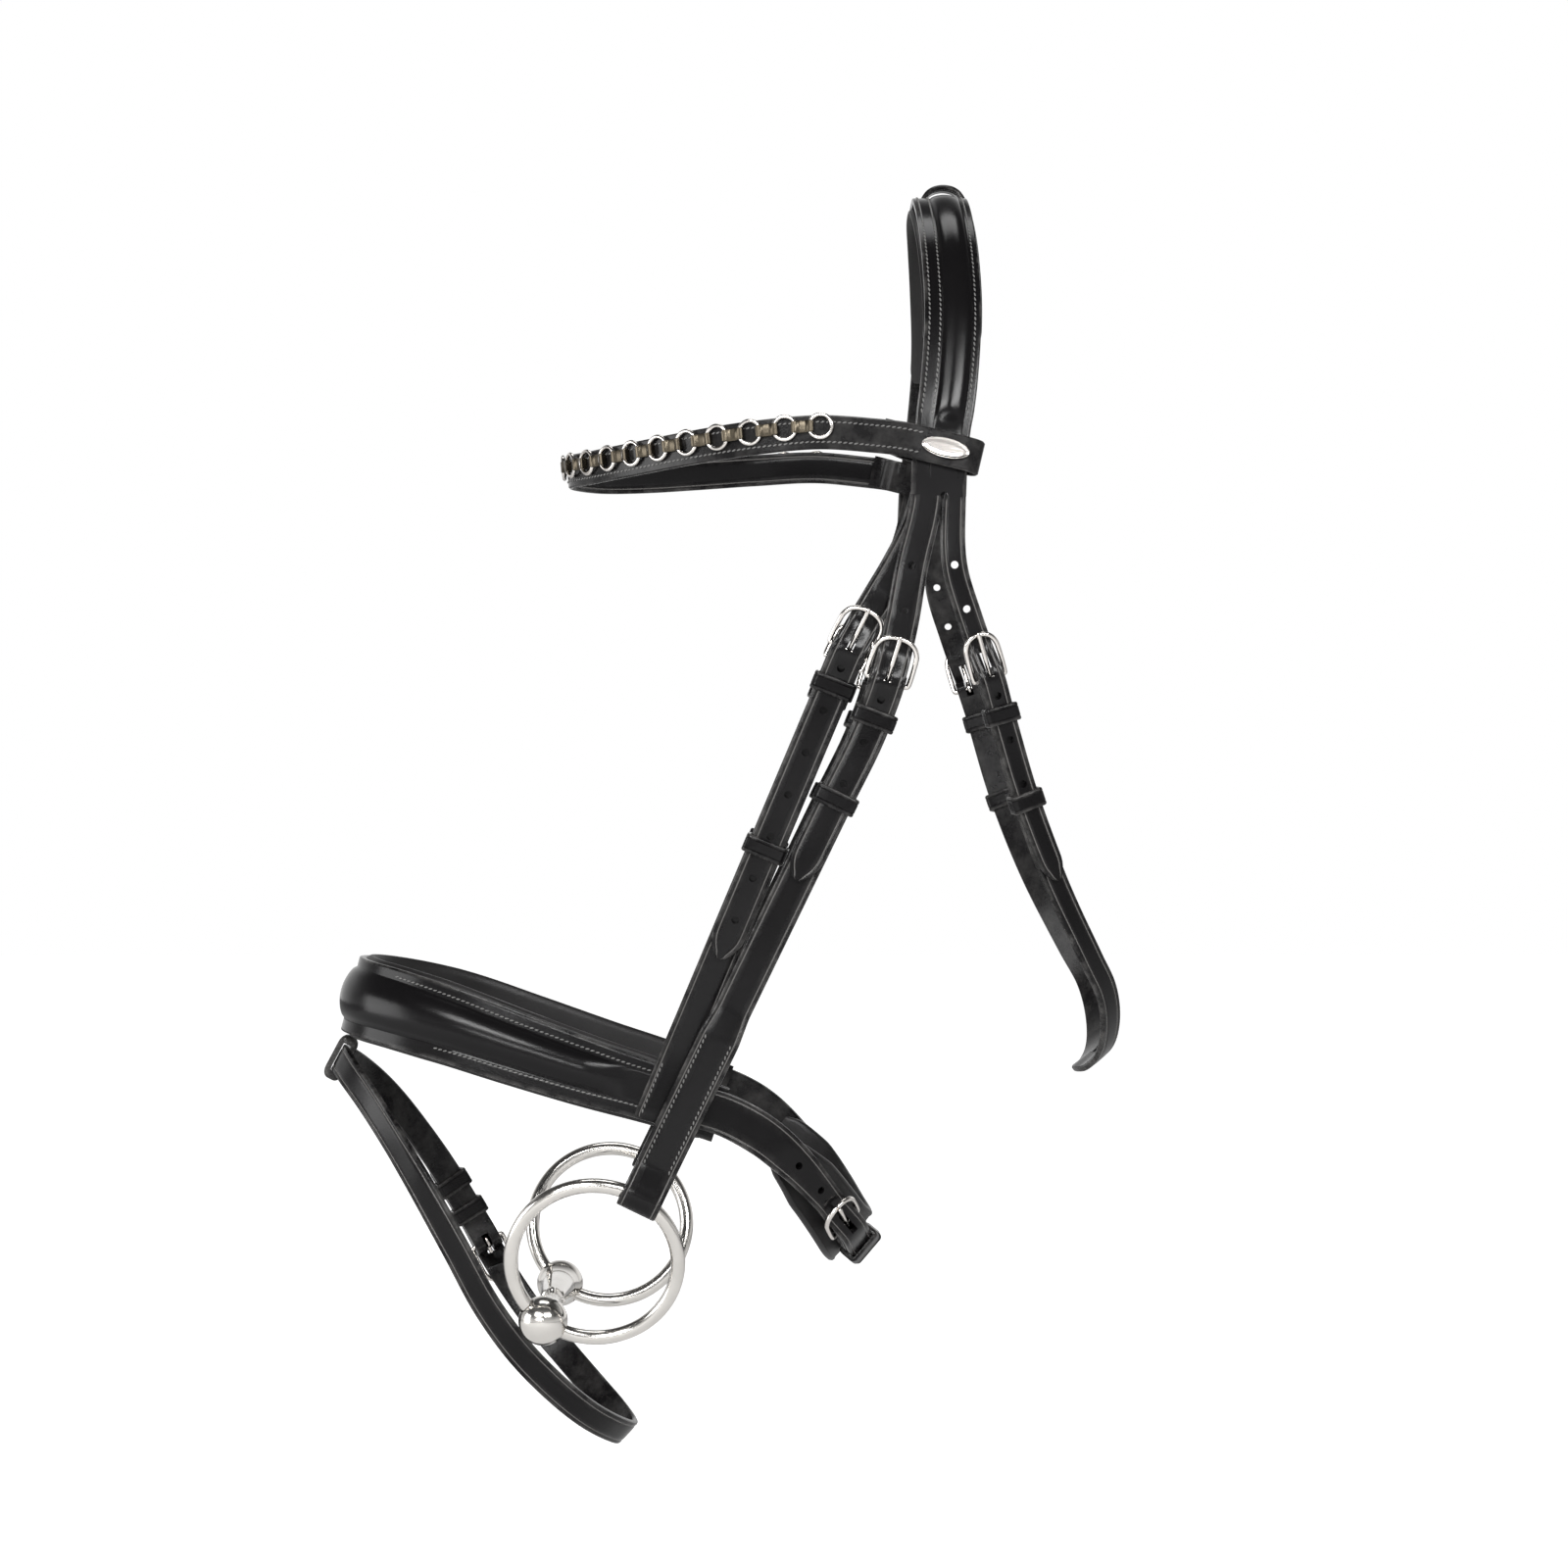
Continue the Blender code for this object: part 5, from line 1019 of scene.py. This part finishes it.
# The cheekpieces. Straps of bridle leather that carry the bit, folded round the buckle's bar above
# and, doubled and stitched, round the bit ring below.
LINED_THICK, LINED_RUN = 0.0052, 0.092
BIT_RING_RADIUS, BIT_RING_WIRE, BIT_TILT = 0.0369, 0.0065, 18.5
BIT_EYE_ANGLE, BIT_BALL_ANGLE = 34.8, 39.0
EYE_PLAY, EYE_LEATHER, SEAM_INSET = 0.0004, 0.0026, 0.0033
CHEEK_STEP, BORE_SIDES = 0.0016, 20
EYE_SHARES = [(-1.2, 0.72, 1), (-0.4, 0.97, 1), (0, 1, 1), (0.45, 0.9, 1), (0.85, 0.55, 1), (1, 0.25, 0.97)]
eye_place = cheek_line.gone[-1 - Line.STEPS] - cheek_line.start
tilt = math.radians(BIT_TILT)
ring_across, ring_up = Vector((1, 0, 0)), Vector((0, -math.sin(tilt), math.cos(tilt)))
ring_axis = ring_across.cross(ring_up)
to_eye, to_ball = (
    (ring_across * math.sin(math.radians(turn)) + ring_up * math.cos(math.radians(turn))) * BIT_RING_RADIUS
    for turn in (BIT_EYE_ANGLE, BIT_BALL_ANGLE)
)
ring_centre = cheek_line.places[-1 - Line.STEPS] - to_eye
ball = ring_centre - to_ball


def wire(places, normal, radius, sides=12, closed=True):
    """Round wire along places in one plane. Its radius is fixed, or one for each place."""
    rings = []
    count = len(places)
    for number, where in enumerate(places):
        before = places[number - 1] if closed else places[max(number - 1, 0)]
        after = places[(number + 1) % count] if closed else places[min(number + 1, count - 1)]
        side = (after - before).normalized().cross(normal)
        size = radius[number] if isinstance(radius, list) else radius
        rings.append(bare(circle(where, side, normal, size, sides)))
    return skinned(rings, closed)


def ring_bore(play):
    """The bore that the bit ring's wire turns in."""
    places = circle(ring_centre, ring_across, ring_up, BIT_RING_RADIUS, count=96)
    return wire(places, ring_axis, BIT_RING_WIRE / 2 + play, sides=BORE_SIDES)


def strap_pair(label, node_label, shape, cuts, runs):
    """The same strap on both sides, with its holes and its stitches."""
    for side_name, turned in SIDES:
        cut = [sided(one, turned) for one in cuts]
        strap(f"{side_name}_{label}_leather", sided(shape, turned), f"{side_name}_{node_label}", cut=cut)
        sewn = [[(flipped(p), flipped(o)) for p, o in run] for run in runs] if turned else runs
        stitches(f"{side_name}_{label}_stitches", sewn)


body, lined, wide = STRAP_THICK / 2, LINED_THICK / 2, EYE_WIDTH / 2
eye_out = BIT_RING_WIRE / 2 + EYE_PLAY + EYE_LEATHER
more = [
    (eye_place - LINED_RUN, body, cheek.half),
    (eye_place - LINED_RUN * 0.86, lined, wide),
    (eye_place - eye_out * 2.4, lined, wide),
]
for far, thick, broad in EYE_SHARES:
    more.append((eye_place + eye_out * far, eye_out * thick, wide * broad))
shape = swept(cheek_line, cheek.on_line(cheek.carrier(more)), strap_section, CHEEK_STEP)
runs = []
for start, end, aside, thick in (
    (eye_place - LINED_RUN * 0.84, eye_place - eye_out * 2.6, wide - SEAM_INSET, lined),
    (FOLD_RUN * 1.05, FOLD_RUN * 1.9, cheek.half * 0.6, body),
):
    runs += [seam(cheek_line, start, end, sign * aside, thick + RAISED_STITCH_LIFT) for sign in (-1, 1)]
strap_pair("cheekpiece", "cheekpiece", shape, cheek.carrier_cuts() + [ring_bore(EYE_PLAY)], runs)

# The noseband hangers. A strap each side from the noseband's buckle down to the noseband, where
# its end is sewn on the outside with a box of stitches.
HANGER_END, HANGER_SEAM_END = 0.001, 0.003
end = front_line.length
foot = [(end - HANGER_END, body, front.half), (end, body * 0.6, front.half * 0.95)]
stations = front.on_line(front.carrier(foot))
shape = swept(front_line, stations, strap_section)
aside, lift = front.half * 0.62, body + RAISED_STITCH_LIFT
runs = [seam(front_line, end - NOSE_END_WIDTH, end - HANGER_SEAM_END, sign * aside, lift) for sign in (-1, 1)]
strap_pair("hanger", "noseband_hanger", shape, front.carrier_cuts(), runs)

# The throatlash. One narrow strap under the throat, creased along both edges, with a buckle folded
# into each end that the headpiece's rear tine goes through.
near = throat.on_line(throat.carrier([(throat_place - POLL_FLAT / 4, body, throat.half)]))
shape = swept(throat_line, to_both_sides(near), strap_section)
strap("throatlash_leather", shape, "throatlash", cut=both_sides(throat.carrier_cuts()))

# The noseband. Wide shaped leather with a raised padded roll, stitched above and below the roll,
# over a softer lining cushion whose rounded edge shows all round it.
NOSE_WIDTH, NOSE_ROLL, NOSE_PAD_EDGE = 0.035, 0.0045, 0.0015
NOSE_SEAM_ASIDE = 0.12
end = nose.length
low, high = NOSE_PAD_THICK + GAP, NOSE_PAD_THICK + GAP + NOSE_THICK
wide, narrow = NOSE_WIDTH / 2, NOSE_END_WIDTH / 2
near = [
    (POLL_FLAT, wide, NOSE_ROLL, -0.72, 0.66),
    (end * 0.22, wide * 0.99, NOSE_ROLL, -0.66, 0.62),
    (end * 0.45, wide * 0.93, NOSE_ROLL * 0.95, -0.58, 0.54),
    (end * 0.68, wide * 0.83, NOSE_ROLL * 0.85, -0.56, 0.50),
    (end * 0.775, wide * 0.77, 0, -0.54, 0.48),
    (end, narrow, 0, -0.54, 0.48),
]
near = [(along, low, high, *sizes) for along, *sizes in near]
shape = swept(nose, to_both_sides(near), rolled_section)
piece("nosepiece_leather", shape, BRIDLE_LEATHER, "strap_leather", "nosepiece")


def beside_roll(along, below):
    """How far across the noseband's seams lie: above its roll or below it."""
    for before, after in zip(near, near[1:]):
        if abs(along) <= after[0]:
            far = max(abs(along) - before[0], 0) / (after[0] - before[0])
            half, start, stop = (before[i] + (after[i] - before[i]) * far for i in (3, 5, 6))
            return half * (stop + NOSE_SEAM_ASIDE if below else start - NOSE_SEAM_ASIDE)


lift = high + STITCH_LIFT
runs = [
    seam(nose, sign * end * first, sign * end * 0.95, lambda along, low=below: beside_roll(along, low), lift)
    for first, below in ((0.2, False), (0.34, True))
    for sign in (-1, 1)
]
stitches("nosepiece_stitches", runs)
edge = NOSE_PAD_EDGE
near_pad = [
    (POLL_FLAT, 0, NOSE_PAD_THICK, wide + edge),
    (end * 0.3, 0, NOSE_PAD_THICK, wide * 0.98 + edge),
    (end * 0.66, 0, NOSE_PAD_THICK, wide * 0.84 + edge),
    (end * 0.95, 0, NOSE_PAD_THICK, narrow + edge),
    (end * 0.97, 0, NOSE_PAD_THICK * 0.85, narrow + edge * 0.5),
]
shape = swept(nose, to_both_sides(near_pad), pad_section)
piece("nosepiece_lining", shape, LINING, "pad_leather", "nosepiece_pad")

# Under the jaw. The off-side chin strap carries a buckle and two keepers, the near-side one is its
# tine, and a broad soft pad keeps both off the jaw.
CHIN_WIDTH, CHIN_ROOT_WIDTH, CHIN_PAD_WIDTH, CHIN_PAD_THICK = 0.014, 0.019, 0.030, 0.0050
CHIN_BAR_SHARE, SHORT_TAIL, CHIN_HOLE_SHARE = 0.24, 0.050, 0.75
CHIN_SHARES = [
    (-0.143, 0, 0.932), (-0.152, 0.19, 0.924), (-0.170, 0.345, 0.906), (-0.197, 0.489, 0.882),
    (-0.230, 0.589, 0.858), (-0.273, 0.644, 0.835), (-0.330, 0.656, 0.815), (-0.390, 0.664, 0.803),
]
CHIN_CORE_SHARES = [(-0.293, 0, 0.856), (-0.383, 0, 0.806)]
chin = Line(placed(CHIN_SHARES), core(*placed(CHIN_CORE_SHARES)), mirrored=True)
chin_buckle = Buckle(chin, CHIN_BAR_SHARE * chin.length, -1, CHIN_WIDTH / 2)
chin_buckle.bar = chin_buckle.bar + chin_buckle.out * (CHIN_PAD_THICK + GAP + chin_buckle.fold)
root_low = NOSE_PAD_THICK + NOSE_THICK + 2 * GAP
root_high = root_low + STRAP_THICK
middle = CHIN_PAD_THICK + GAP + chin_buckle.fold
end, half, pad_end = chin.length, CHIN_PAD_WIDTH / 2, chin.length * 0.62
near = [
    (POLL_FLAT, 0, CHIN_PAD_THICK, half),
    (pad_end * 0.72, 0, CHIN_PAD_THICK, half * 0.9),
    (pad_end * 0.93, 0, CHIN_PAD_THICK, half * 0.66),
    (pad_end, 0, CHIN_PAD_THICK * 0.85, half * 0.45),
]
shape = swept(chin, to_both_sides(near), pad_section)
piece("chin_pad_lining", shape, LINING, "pad_leather", "chin_pad")
root, thick = CHIN_ROOT_WIDTH / 2, STRAP_THICK / 2


def raised(stations):
    """Stations of the chin buckle, lifted clear of the pad."""
    return [(along, low + middle, high + middle, wide) for along, low, high, wide in stations]


off, over = (root_low, root_high), (middle - thick, middle + thick)
run = [(-end * 0.95, *off, root), (-end * 0.74, *off, root)]
run += [(-end * 0.60, *over, root * 0.9), (-end * 0.4, *over, chin_buckle.half)]
shape = swept(chin, run + chin_buckle.on_line(raised(chin_buckle.carrier([]))), strap_section)
strap("right_chin_leather", shape, "right_chin_strap", cut=chin_buckle.carrier_cuts())
run = chin_buckle.on_line(raised(chin_buckle.tine(SHORT_TAIL, chin_buckle.half, [])))
run += [(end * 0.52, *over, root * 0.85), (end * 0.62, *over, root * 0.95)]
run += [(end * 0.74, *off, root), (end * 0.95, *off, root)]
shape = swept(chin, run, strap_section)
holes = [chin_buckle.tine_cut()]
for number in (2, 1):
    along = chin_buckle.slot()[1] + HOLE_PITCH * CHIN_HOLE_SHARE * number
    holes.append(punched(chin, chin_buckle.place + along, middle))
strap("left_chin_leather", shape, "left_chin_strap", cut=holes)

# The lower strap. One long strap that hangs from a loop at the noseband's front, goes down in front
# of the bit and buckles under the chin. The loop is a turn of thin leather.
FLASH_WIDTH, FLASH_LOOP_LENGTH = 0.013, 0.0055
FLASH_LOOP_PLAY, FLASH_LOOP_SIDE_PLAY, FLASH_LOOP_WALL = 0.0011, 0.0031, 0.0040
FLASH_BAR_SHARE = 0.50
FLASH_SHARES = [
    (-0.917, 0, 0.7735), (-0.902, 0.156, 0.782), (-0.865, 0.333, 0.806),
    (-0.790, 0.517, 0.870), (-0.725, 0.589, 0.936),
]
FLASH_BIT_SHARES = [
    (-0.0824, 0.600, 0.990), (-0.0374, 0.578, 1.028), (0.0106, 0.522, 1.060),
    (0.0576, 0.400, 1.088), (0.0946, 0.222, 1.107), (0.1146, 0, 1.117),
]
FLASH_CORE_SHARES = [(-0.74, 0, 0.83), (-0.60, 0, 1.05)]
points = placed(FLASH_SHARES) + [point + Vector((ball.x, 0, 0)) for point in placed(FLASH_BIT_SHARES)]
flash = Line(points, core(*placed(FLASH_CORE_SHARES)), mirrored=True, closed=True)
flash_buckle = Buckle(flash, -FLASH_BAR_SHARE * flash.length, 1, FLASH_WIDTH / 2)
turn_length = 2 * flash.length
carrier = flash_buckle.carrier([(turn_length - FRAME_LENGTH * 2.2, STRAP_THICK / 2, flash_buckle.half)])
tine = flash_buckle.tine(SHORT_TAIL, flash_buckle.half, [])
tine = [(turn_length + along, *sizes) for along, *sizes in tine]
shape = swept(flash, flash_buckle.on_line(carrier + tine), strap_section)
strap("flash_leather", shape, "flash_strap", cut=[*flash_buckle.carrier_cuts(), flash_buckle.tine_cut()])
KEEPER_LENGTH, KEEPER_WALL, KEEPER_PLAY = 0.008, 0.0015, 0.0004
CORNER_SHARE, CORNER_STEPS, SIDE_SHARES = 0.45, 6, (0.3, 0.5, 0.7)
SLEEVE_RIMS = [1, 1, 1, 0.6, 0.2, 0.4, 0]
FLASH_LOOP_PLAY_SHARES, FLASH_LOOP_FLAT = (0.7, 0.25, 0.4), 0.62


def sleeve(line, along, low, high, half, length=KEEPER_LENGTH, wall=KEEPER_WALL, aside=0.0, flat=1.0):
    """A band of leather round whatever lies between two lifts at one place of a line."""
    where, way, out, side = line.frame(along)
    where = where + side * aside
    corner = KEEPER_WALL * CORNER_SHARE
    middle, tall = (low + high) / 2, (high - low) / 2
    wide, high = half - corner, tall - corner
    corners = [(wide, high), (-wide, high), (-wide, -high), (wide, -high)]
    path = []
    for quarter, (x, y) in enumerate(corners):
        for step in range(CORNER_STEPS + 1):
            turn = math.pi / 2 * (quarter + step / CORNER_STEPS)
            facing = (math.cos(turn), math.sin(turn))
            path.append((x + corner * facing[0], y + corner * facing[1], facing))
        here, ahead = path[-1], corners[(quarter + 1) % 4]
        for share in SIDE_SHARES:
            run = [ahead[i] + corner * facing[i] - here[i] for i in (0, 1)]
            path.append((here[0] + run[0] * share, here[1] + run[1] * share, facing))
    edge = length / 2
    section = [(-edge, 0), (-edge, wall * 0.6), (-edge + wall * 0.2, wall * 0.9), (-edge + wall * 0.5, wall)]
    section += [(-edge * 0.62, wall), (-edge * 0.56, wall * 0.82), (-edge * 0.50, wall)]
    section = [(*pair, rim) for pair, rim in zip(section, SLEEVE_RIMS)]
    section += [(-step, grow, rim) for step, grow, rim in reversed(section)]
    rings = []
    for x, y, (over, up) in path:
        ring = []
        for step, grow, rim in section:
            beside, above = x + over * grow, middle + y + up * grow * flat
            ring.append((where + way * step + side * beside + out * above, rim))
        rings.append(ring)
    return skinned(rings, closed=True)


inside, outside, beside = (FLASH_LOOP_PLAY * share for share in FLASH_LOOP_PLAY_SHARES)
half = FLASH_WIDTH / 2 + beside
aside = half + FLASH_LOOP_WALL - FLASH_WIDTH / 2 - FLASH_LOOP_SIDE_PLAY - KEEPER_WALL
sizes = (half, FLASH_LOOP_LENGTH, FLASH_LOOP_WALL, aside, FLASH_LOOP_FLAT)
shape = sleeve(flash, 0, -STRAP_THICK / 2 - inside, STRAP_THICK / 2 + outside, *sizes)
piece("flash_loop_leather", shape, BRIDLE_LEATHER, "strap_leather", "flash_loop")

# Keepers. Short bands of leather, creased and closed at the back, that hold the tines down: one
# sewn fast beside each buckle, and one that slides on the strap.
FIXED_KEEPER_PLACE, RUNNING_KEEPER_PLACE, FRONT_RUNNER_PLACE = 0.0168, 0.056, 0.0945
CHIN_KEEPER_PLACE = 0.019
KEEPER_STEP = KEEPER_LENGTH * 1.9


def keeper(buckle, along, lift=0.0):
    """A keeper round the strap and the tine that lies on it."""
    low = lift - buckle.body / 2 - KEEPER_PLAY
    high = lift + buckle.over_body + TINE_THICK / 2 + KEEPER_PLAY
    return sleeve(buckle.line, buckle.place + buckle.sense * along, low, high, buckle.half + KEEPER_PLAY)


def fitted(node_name, shape, suffix, finish, slot_name, loose, angle=38):
    """A small piece named for its node, fast to the straps or loose on a body of its own."""
    body = node_name if loose else "straps"
    piece(f"{node_name}_{suffix}", shape, finish, slot_name, node_name, body=body, angle=angle)


side_buckles = (
    ("cheek", cheek, RUNNING_KEEPER_PLACE),
    ("noseband", front, FRONT_RUNNER_PLACE),
    ("throatlash", throat, RUNNING_KEEPER_PLACE),
)
LEATHER = ("leather", BRIDLE_LEATHER, "strap_leather")
for kind, buckle, runner in side_buckles:
    for side_name, turned in SIDES:
        for label, along in (("fixed_keeper", FIXED_KEEPER_PLACE), ("runner", runner)):
            shape = sided(keeper(buckle, along), turned)
            fitted(f"{side_name}_{kind}_{label}", shape, *LEATHER, label == "runner")
for number in (1, 2):
    step = KEEPER_STEP * (number - 1)
    fitted(f"chin_keeper_{number}", keeper(chin_buckle, CHIN_KEEPER_PLACE + step, middle), *LEATHER, False)
    fitted(f"flash_keeper_{number}", keeper(flash_buckle, FIXED_KEEPER_PLACE + step), *LEATHER, False)

# Buckles. Frames of round nickel wire with a straight bar that the strap is folded round, and a
# tongue of thinner wire bent round the bar, whose tip rests on the frame's arch.
FRAME_SHARES = [(0.86, 0), (1, 0.07), (1, 0.58), (0.93, 0.76), (0.72, 0.9), (0.38, 0.98), (0, 1)]
TONGUE_SHARES = [(1, 0.35), (0.995, 0.7), (0.97, 0.85)]
TONGUE_SHARES += [(far, 1) for far in (0.9, 0.7, 0.5, 0.3, 0.15, 0.06)]
TONGUE_TURN = 15


def buckle_frame(buckle):
    """The frame's wire, straight at the bar and round at the arch."""
    lean = buckle.arch / FRAME_LENGTH
    sides = FRAME_SHARES + [(-aside, along) for aside, along in reversed(FRAME_SHARES) if aside > 0]
    sides = smoothed([Vector(pair).to_3d() for pair in sides], 5)
    sides += [Vector((-FRAME_SHARES[0][0] * share, 0, 0)) for share in (0.8, 0.5, 0.2, -0.2, -0.5, -0.8)]
    places = [buckle.at(-FRAME_LENGTH * p.y, FRAME_LENGTH * p.y * lean, buckle.wide * p.x) for p in sides]
    return wire(places, (buckle.out + buckle.way * lean).normalized(), WIRE / 2, sides=14)


def buckle_tongue(buckle):
    """The tongue's wire, from its tip on the arch to its eye round the bar."""
    back, out = buckle.tip
    places = [buckle.at(-back * far, buckle.eye + (out - buckle.eye) * far, 0) for far, _ in TONGUE_SHARES]
    sizes = [TONGUE_WIRE / 2 * size for _, size in TONGUE_SHARES]
    for step in range(1, 19):
        turn = math.radians(TONGUE_TURN * step)
        places.append(buckle.at(buckle.eye * math.sin(turn), buckle.eye * math.cos(turn), 0))
        sizes.append(TONGUE_WIRE / 2)
    return wire(places, buckle.side, sizes, closed=False)


mounted = [(f"{name}_{kind}", one, turned) for kind, one, _ in side_buckles for name, turned in SIDES]
mounted += [("chin", chin_buckle, False), ("flash", flash_buckle, False)]
for name, buckle, turned in mounted:
    for label, shape in (("buckle", buckle_frame(buckle)), ("tongue", buckle_tongue(buckle))):
        shape = sided(shape, turned)
        fitted(f"{name}_{label}", shape, "wire", NICKEL, "nickel", label == "tongue", 60)

# The bit. Two loose rings of stainless steel, and a jointed mouthpiece in two halves: each half is
# a tapered bar from a bored ball, which the ring turns in, to an eye linked in the other's.
BALL_RADIUS, BALL_PLAY = 0.0110, 0.0009
CANNON_ROOT, CANNON_TIP, LINK_RADIUS, LINK_WIRE = 0.0080, 0.0052, 0.0050, 0.0032
BALL_STEP, BALL_OPEN, CANNON_SIDES, WAIST_SHARE = 3, 126, 72, 0.10
STEEL_LOOK = {"roughness": 0.13, "spread": 0.16, "scratches": 500.0}
STEEL = metal("bit_steel", (0.74, 0.715, 0.68), (0.60, 0.58, 0.55), **STEEL_LOOK)
places = circle(ring_centre, ring_across, ring_up, BIT_RING_RADIUS, count=128)
ring = wire(places, ring_axis, BIT_RING_WIRE / 2, sides=24)
for side_name, turned in SIDES:
    name = f"{side_name}_bit_ring"
    piece(f"{side_name}_ring_steel", sided(ring, turned), STEEL, "bit_steel", name, body=name, angle=60)
inward, forward, down = Vector((0, 1, 0)), Vector((1, 0, 0)), Vector((0, 0, 1))
reach = -ball.y
link_middle = LINK_RADIUS - LINK_WIRE / 2 - GAP
bar_end = reach - link_middle - LINK_RADIUS
turns = [math.radians(degrees) for degrees in range(BALL_STEP, BALL_OPEN, BALL_STEP)]
profile = [(-BALL_RADIUS * math.cos(turn), BALL_RADIUS * math.sin(turn)) for turn in turns]
neck = profile[-1]
bar_start = (BALL_RADIUS * 1.6, CANNON_ROOT)
for share in (0.2, 0.45, 0.7):
    wide = neck[1] + (bar_start[1] - neck[1]) * share
    waist = CANNON_ROOT * WAIST_SHARE * math.sin(math.pi * share)
    profile.append((neck[0] + (bar_start[0] - neck[0]) * share, wide - waist))
for share in (0, 0.15, 0.3, 0.45, 0.6, 0.75, 0.9, 1):
    along = bar_start[0] + (bar_end - bar_start[0]) * share
    profile.append((along, CANNON_ROOT + (CANNON_TIP - CANNON_ROOT) * share**1.2))
rings = [bare(circle(ball + inward * step, forward, down, radius, CANNON_SIDES)) for step, radius in profile]
shape = skinned(rings)
link = ball + inward * (reach - link_middle)
for (side_name, turned), first, second in zip(SIDES, (forward, down), (down, forward)):
    middle_of_eye = flipped(link) if turned else link
    eye = wire(circle(middle_of_eye, inward, first, LINK_RADIUS, count=40), second, LINK_WIRE / 2, sides=16)
    item = solid(f"{side_name}_cannon_steel", sided(shape, turned), STEEL)
    worked(item, [eye], [sided(ring_bore(BALL_PLAY), turned)])
    name = f"{side_name}_bit_cannon"
    finished(shaded(item, 40), "bit_steel", name, body=name)

# The studio. The camera stands where the photograph was taken from, level with the cheek on the
# near side, over a pale floor in plain soft light.
LENS, SENSOR = 84.76, 36.0
CAMERA_PLACE, LOOKED_AT = (-0.0709, -1.700, -0.2608), (-0.1, 0, -0.25)
FLOOR_DEPTH, FLOOR_REACH = -0.62, 6.0
FLOOR_TONE, FLOOR_SPREAD, FLOOR_GLOW = (0.86, 0.86, 0.86, 1), (0.8, 0.8, 0), (0.85, 0.45)
WHITE = (1, 1, 1, 1)
ROOM_BEHIND, ROOM_LOW, ROOM_HIGH, ROOM_DIM = (-0.1, 0.6), (0.08, 0.38), (0.35, 0.75), 0.07
LAMPS = [
    ("nose_side_light", (-0.85, -1.70, 0.80), LOOKED_AT, 1.0, 0.32, 26),
    ("neck_side_light", (0.65, -1.70, 0.70), LOOKED_AT, 1.0, 0.32, 26),
    ("strip_light", (-0.62, -1.75, -0.06), (-0.2, 0, -0.42), 0.9, 0.11, 8),
    ("front_light", (-1.8, -0.4, -0.25), LOOKED_AT, 0.9, 1.0, 14),
    ("top_light", (-0.1, 0.4, 1.4), LOOKED_AT, 0.9, 0.5, 6),
]


def stood(name, data):
    """A new object of the studio."""
    item = bpy.data.objects.new(name, data)
    bpy.context.scene.collection.objects.link(item)
    return item


camera = stood("camera", bpy.data.cameras.new("camera"))
camera.data.lens, camera.data.sensor_width = LENS, SENSOR
camera.location = CAMERA_PLACE
camera.rotation_euler = (math.pi / 2, 0, 0)
bpy.context.scene.camera = camera

floor_mesh = bpy.data.meshes.new("studio_floor")
corners = [(x * FLOOR_REACH, y * FLOOR_REACH, FLOOR_DEPTH) for x, y in ((-1, -1), (1, -1), (1, 1), (-1, 1))]
floor_mesh.from_pydata(corners, [], [(0, 1, 2, 3)])
floor = stood("studio_floor", floor_mesh)
pale, tree, shader = material("pale_floor")
path = node(tree, "ShaderNodeLightPath").outputs
where = node(tree, "ShaderNodeTexCoord").outputs["Object"]
spread = node(tree, "ShaderNodeMapping", {"Vector": where, "Scale": FLOOR_SPREAD}).outputs[0]
near = node(tree, "ShaderNodeTexGradient", {"Vector": spread}, gradient_type="SPHERICAL").outputs["Fac"]
glow = maths(tree, "MULTIPLY", path["Is Camera Ray"], ranged(tree, near, (0.0, 1.0), FLOOR_GLOW))
feed(tree, shader, {"Base Color": FLOOR_TONE, "Roughness": 0.9, "Specular IOR Level": 0.1})
feed(tree, shader, {"Emission Color": WHITE, "Emission Strength": glow})
floor_mesh.materials.append(pale)

world = bpy.data.worlds.new("studio")
bpy.context.scene.world = world
world.use_nodes = True
tree = world.node_tree
path = node(tree, "ShaderNodeLightPath").outputs
where = node(tree, "ShaderNodeTexCoord").outputs["Generated"]
way = node(tree, "ShaderNodeSeparateXYZ", {0: where}).outputs
high = ranged(tree, way["Z"], ROOM_HIGH, (1.0, ROOM_DIM))
backdrop = maths(tree, "MULTIPLY", ranged(tree, way["Y"], ROOM_BEHIND), high)
room = maths(tree, "MAXIMUM", backdrop, ranged(tree, way["Z"], ROOM_LOW, (0.8, ROOM_DIM)))
mirrored = maths(tree, "MAXIMUM", path["Is Glossy Ray"], path["Is Transmission Ray"])
lit = node(tree, "ShaderNodeMix", {0: mirrored, 2: 0.20, 3: room}).outputs[0]
strength = node(tree, "ShaderNodeMix", {0: path["Is Camera Ray"], 2: lit, 3: 1.0}).outputs[0]
feed(tree, tree.nodes["Background"], {"Color": WHITE, "Strength": strength})

for name, where, aim, wide, tall, power in LAMPS:
    lamp = bpy.data.lights.new(name, "AREA")
    lamp.shape, lamp.size, lamp.size_y, lamp.energy = "RECTANGLE", wide, tall, power
    item = stood(name, lamp)
    item.location = where
    item.rotation_euler = (Vector(aim) - Vector(where)).to_track_quat("-Z", "Y").to_euler()

bpy.context.scene.view_settings.view_transform = "Standard"
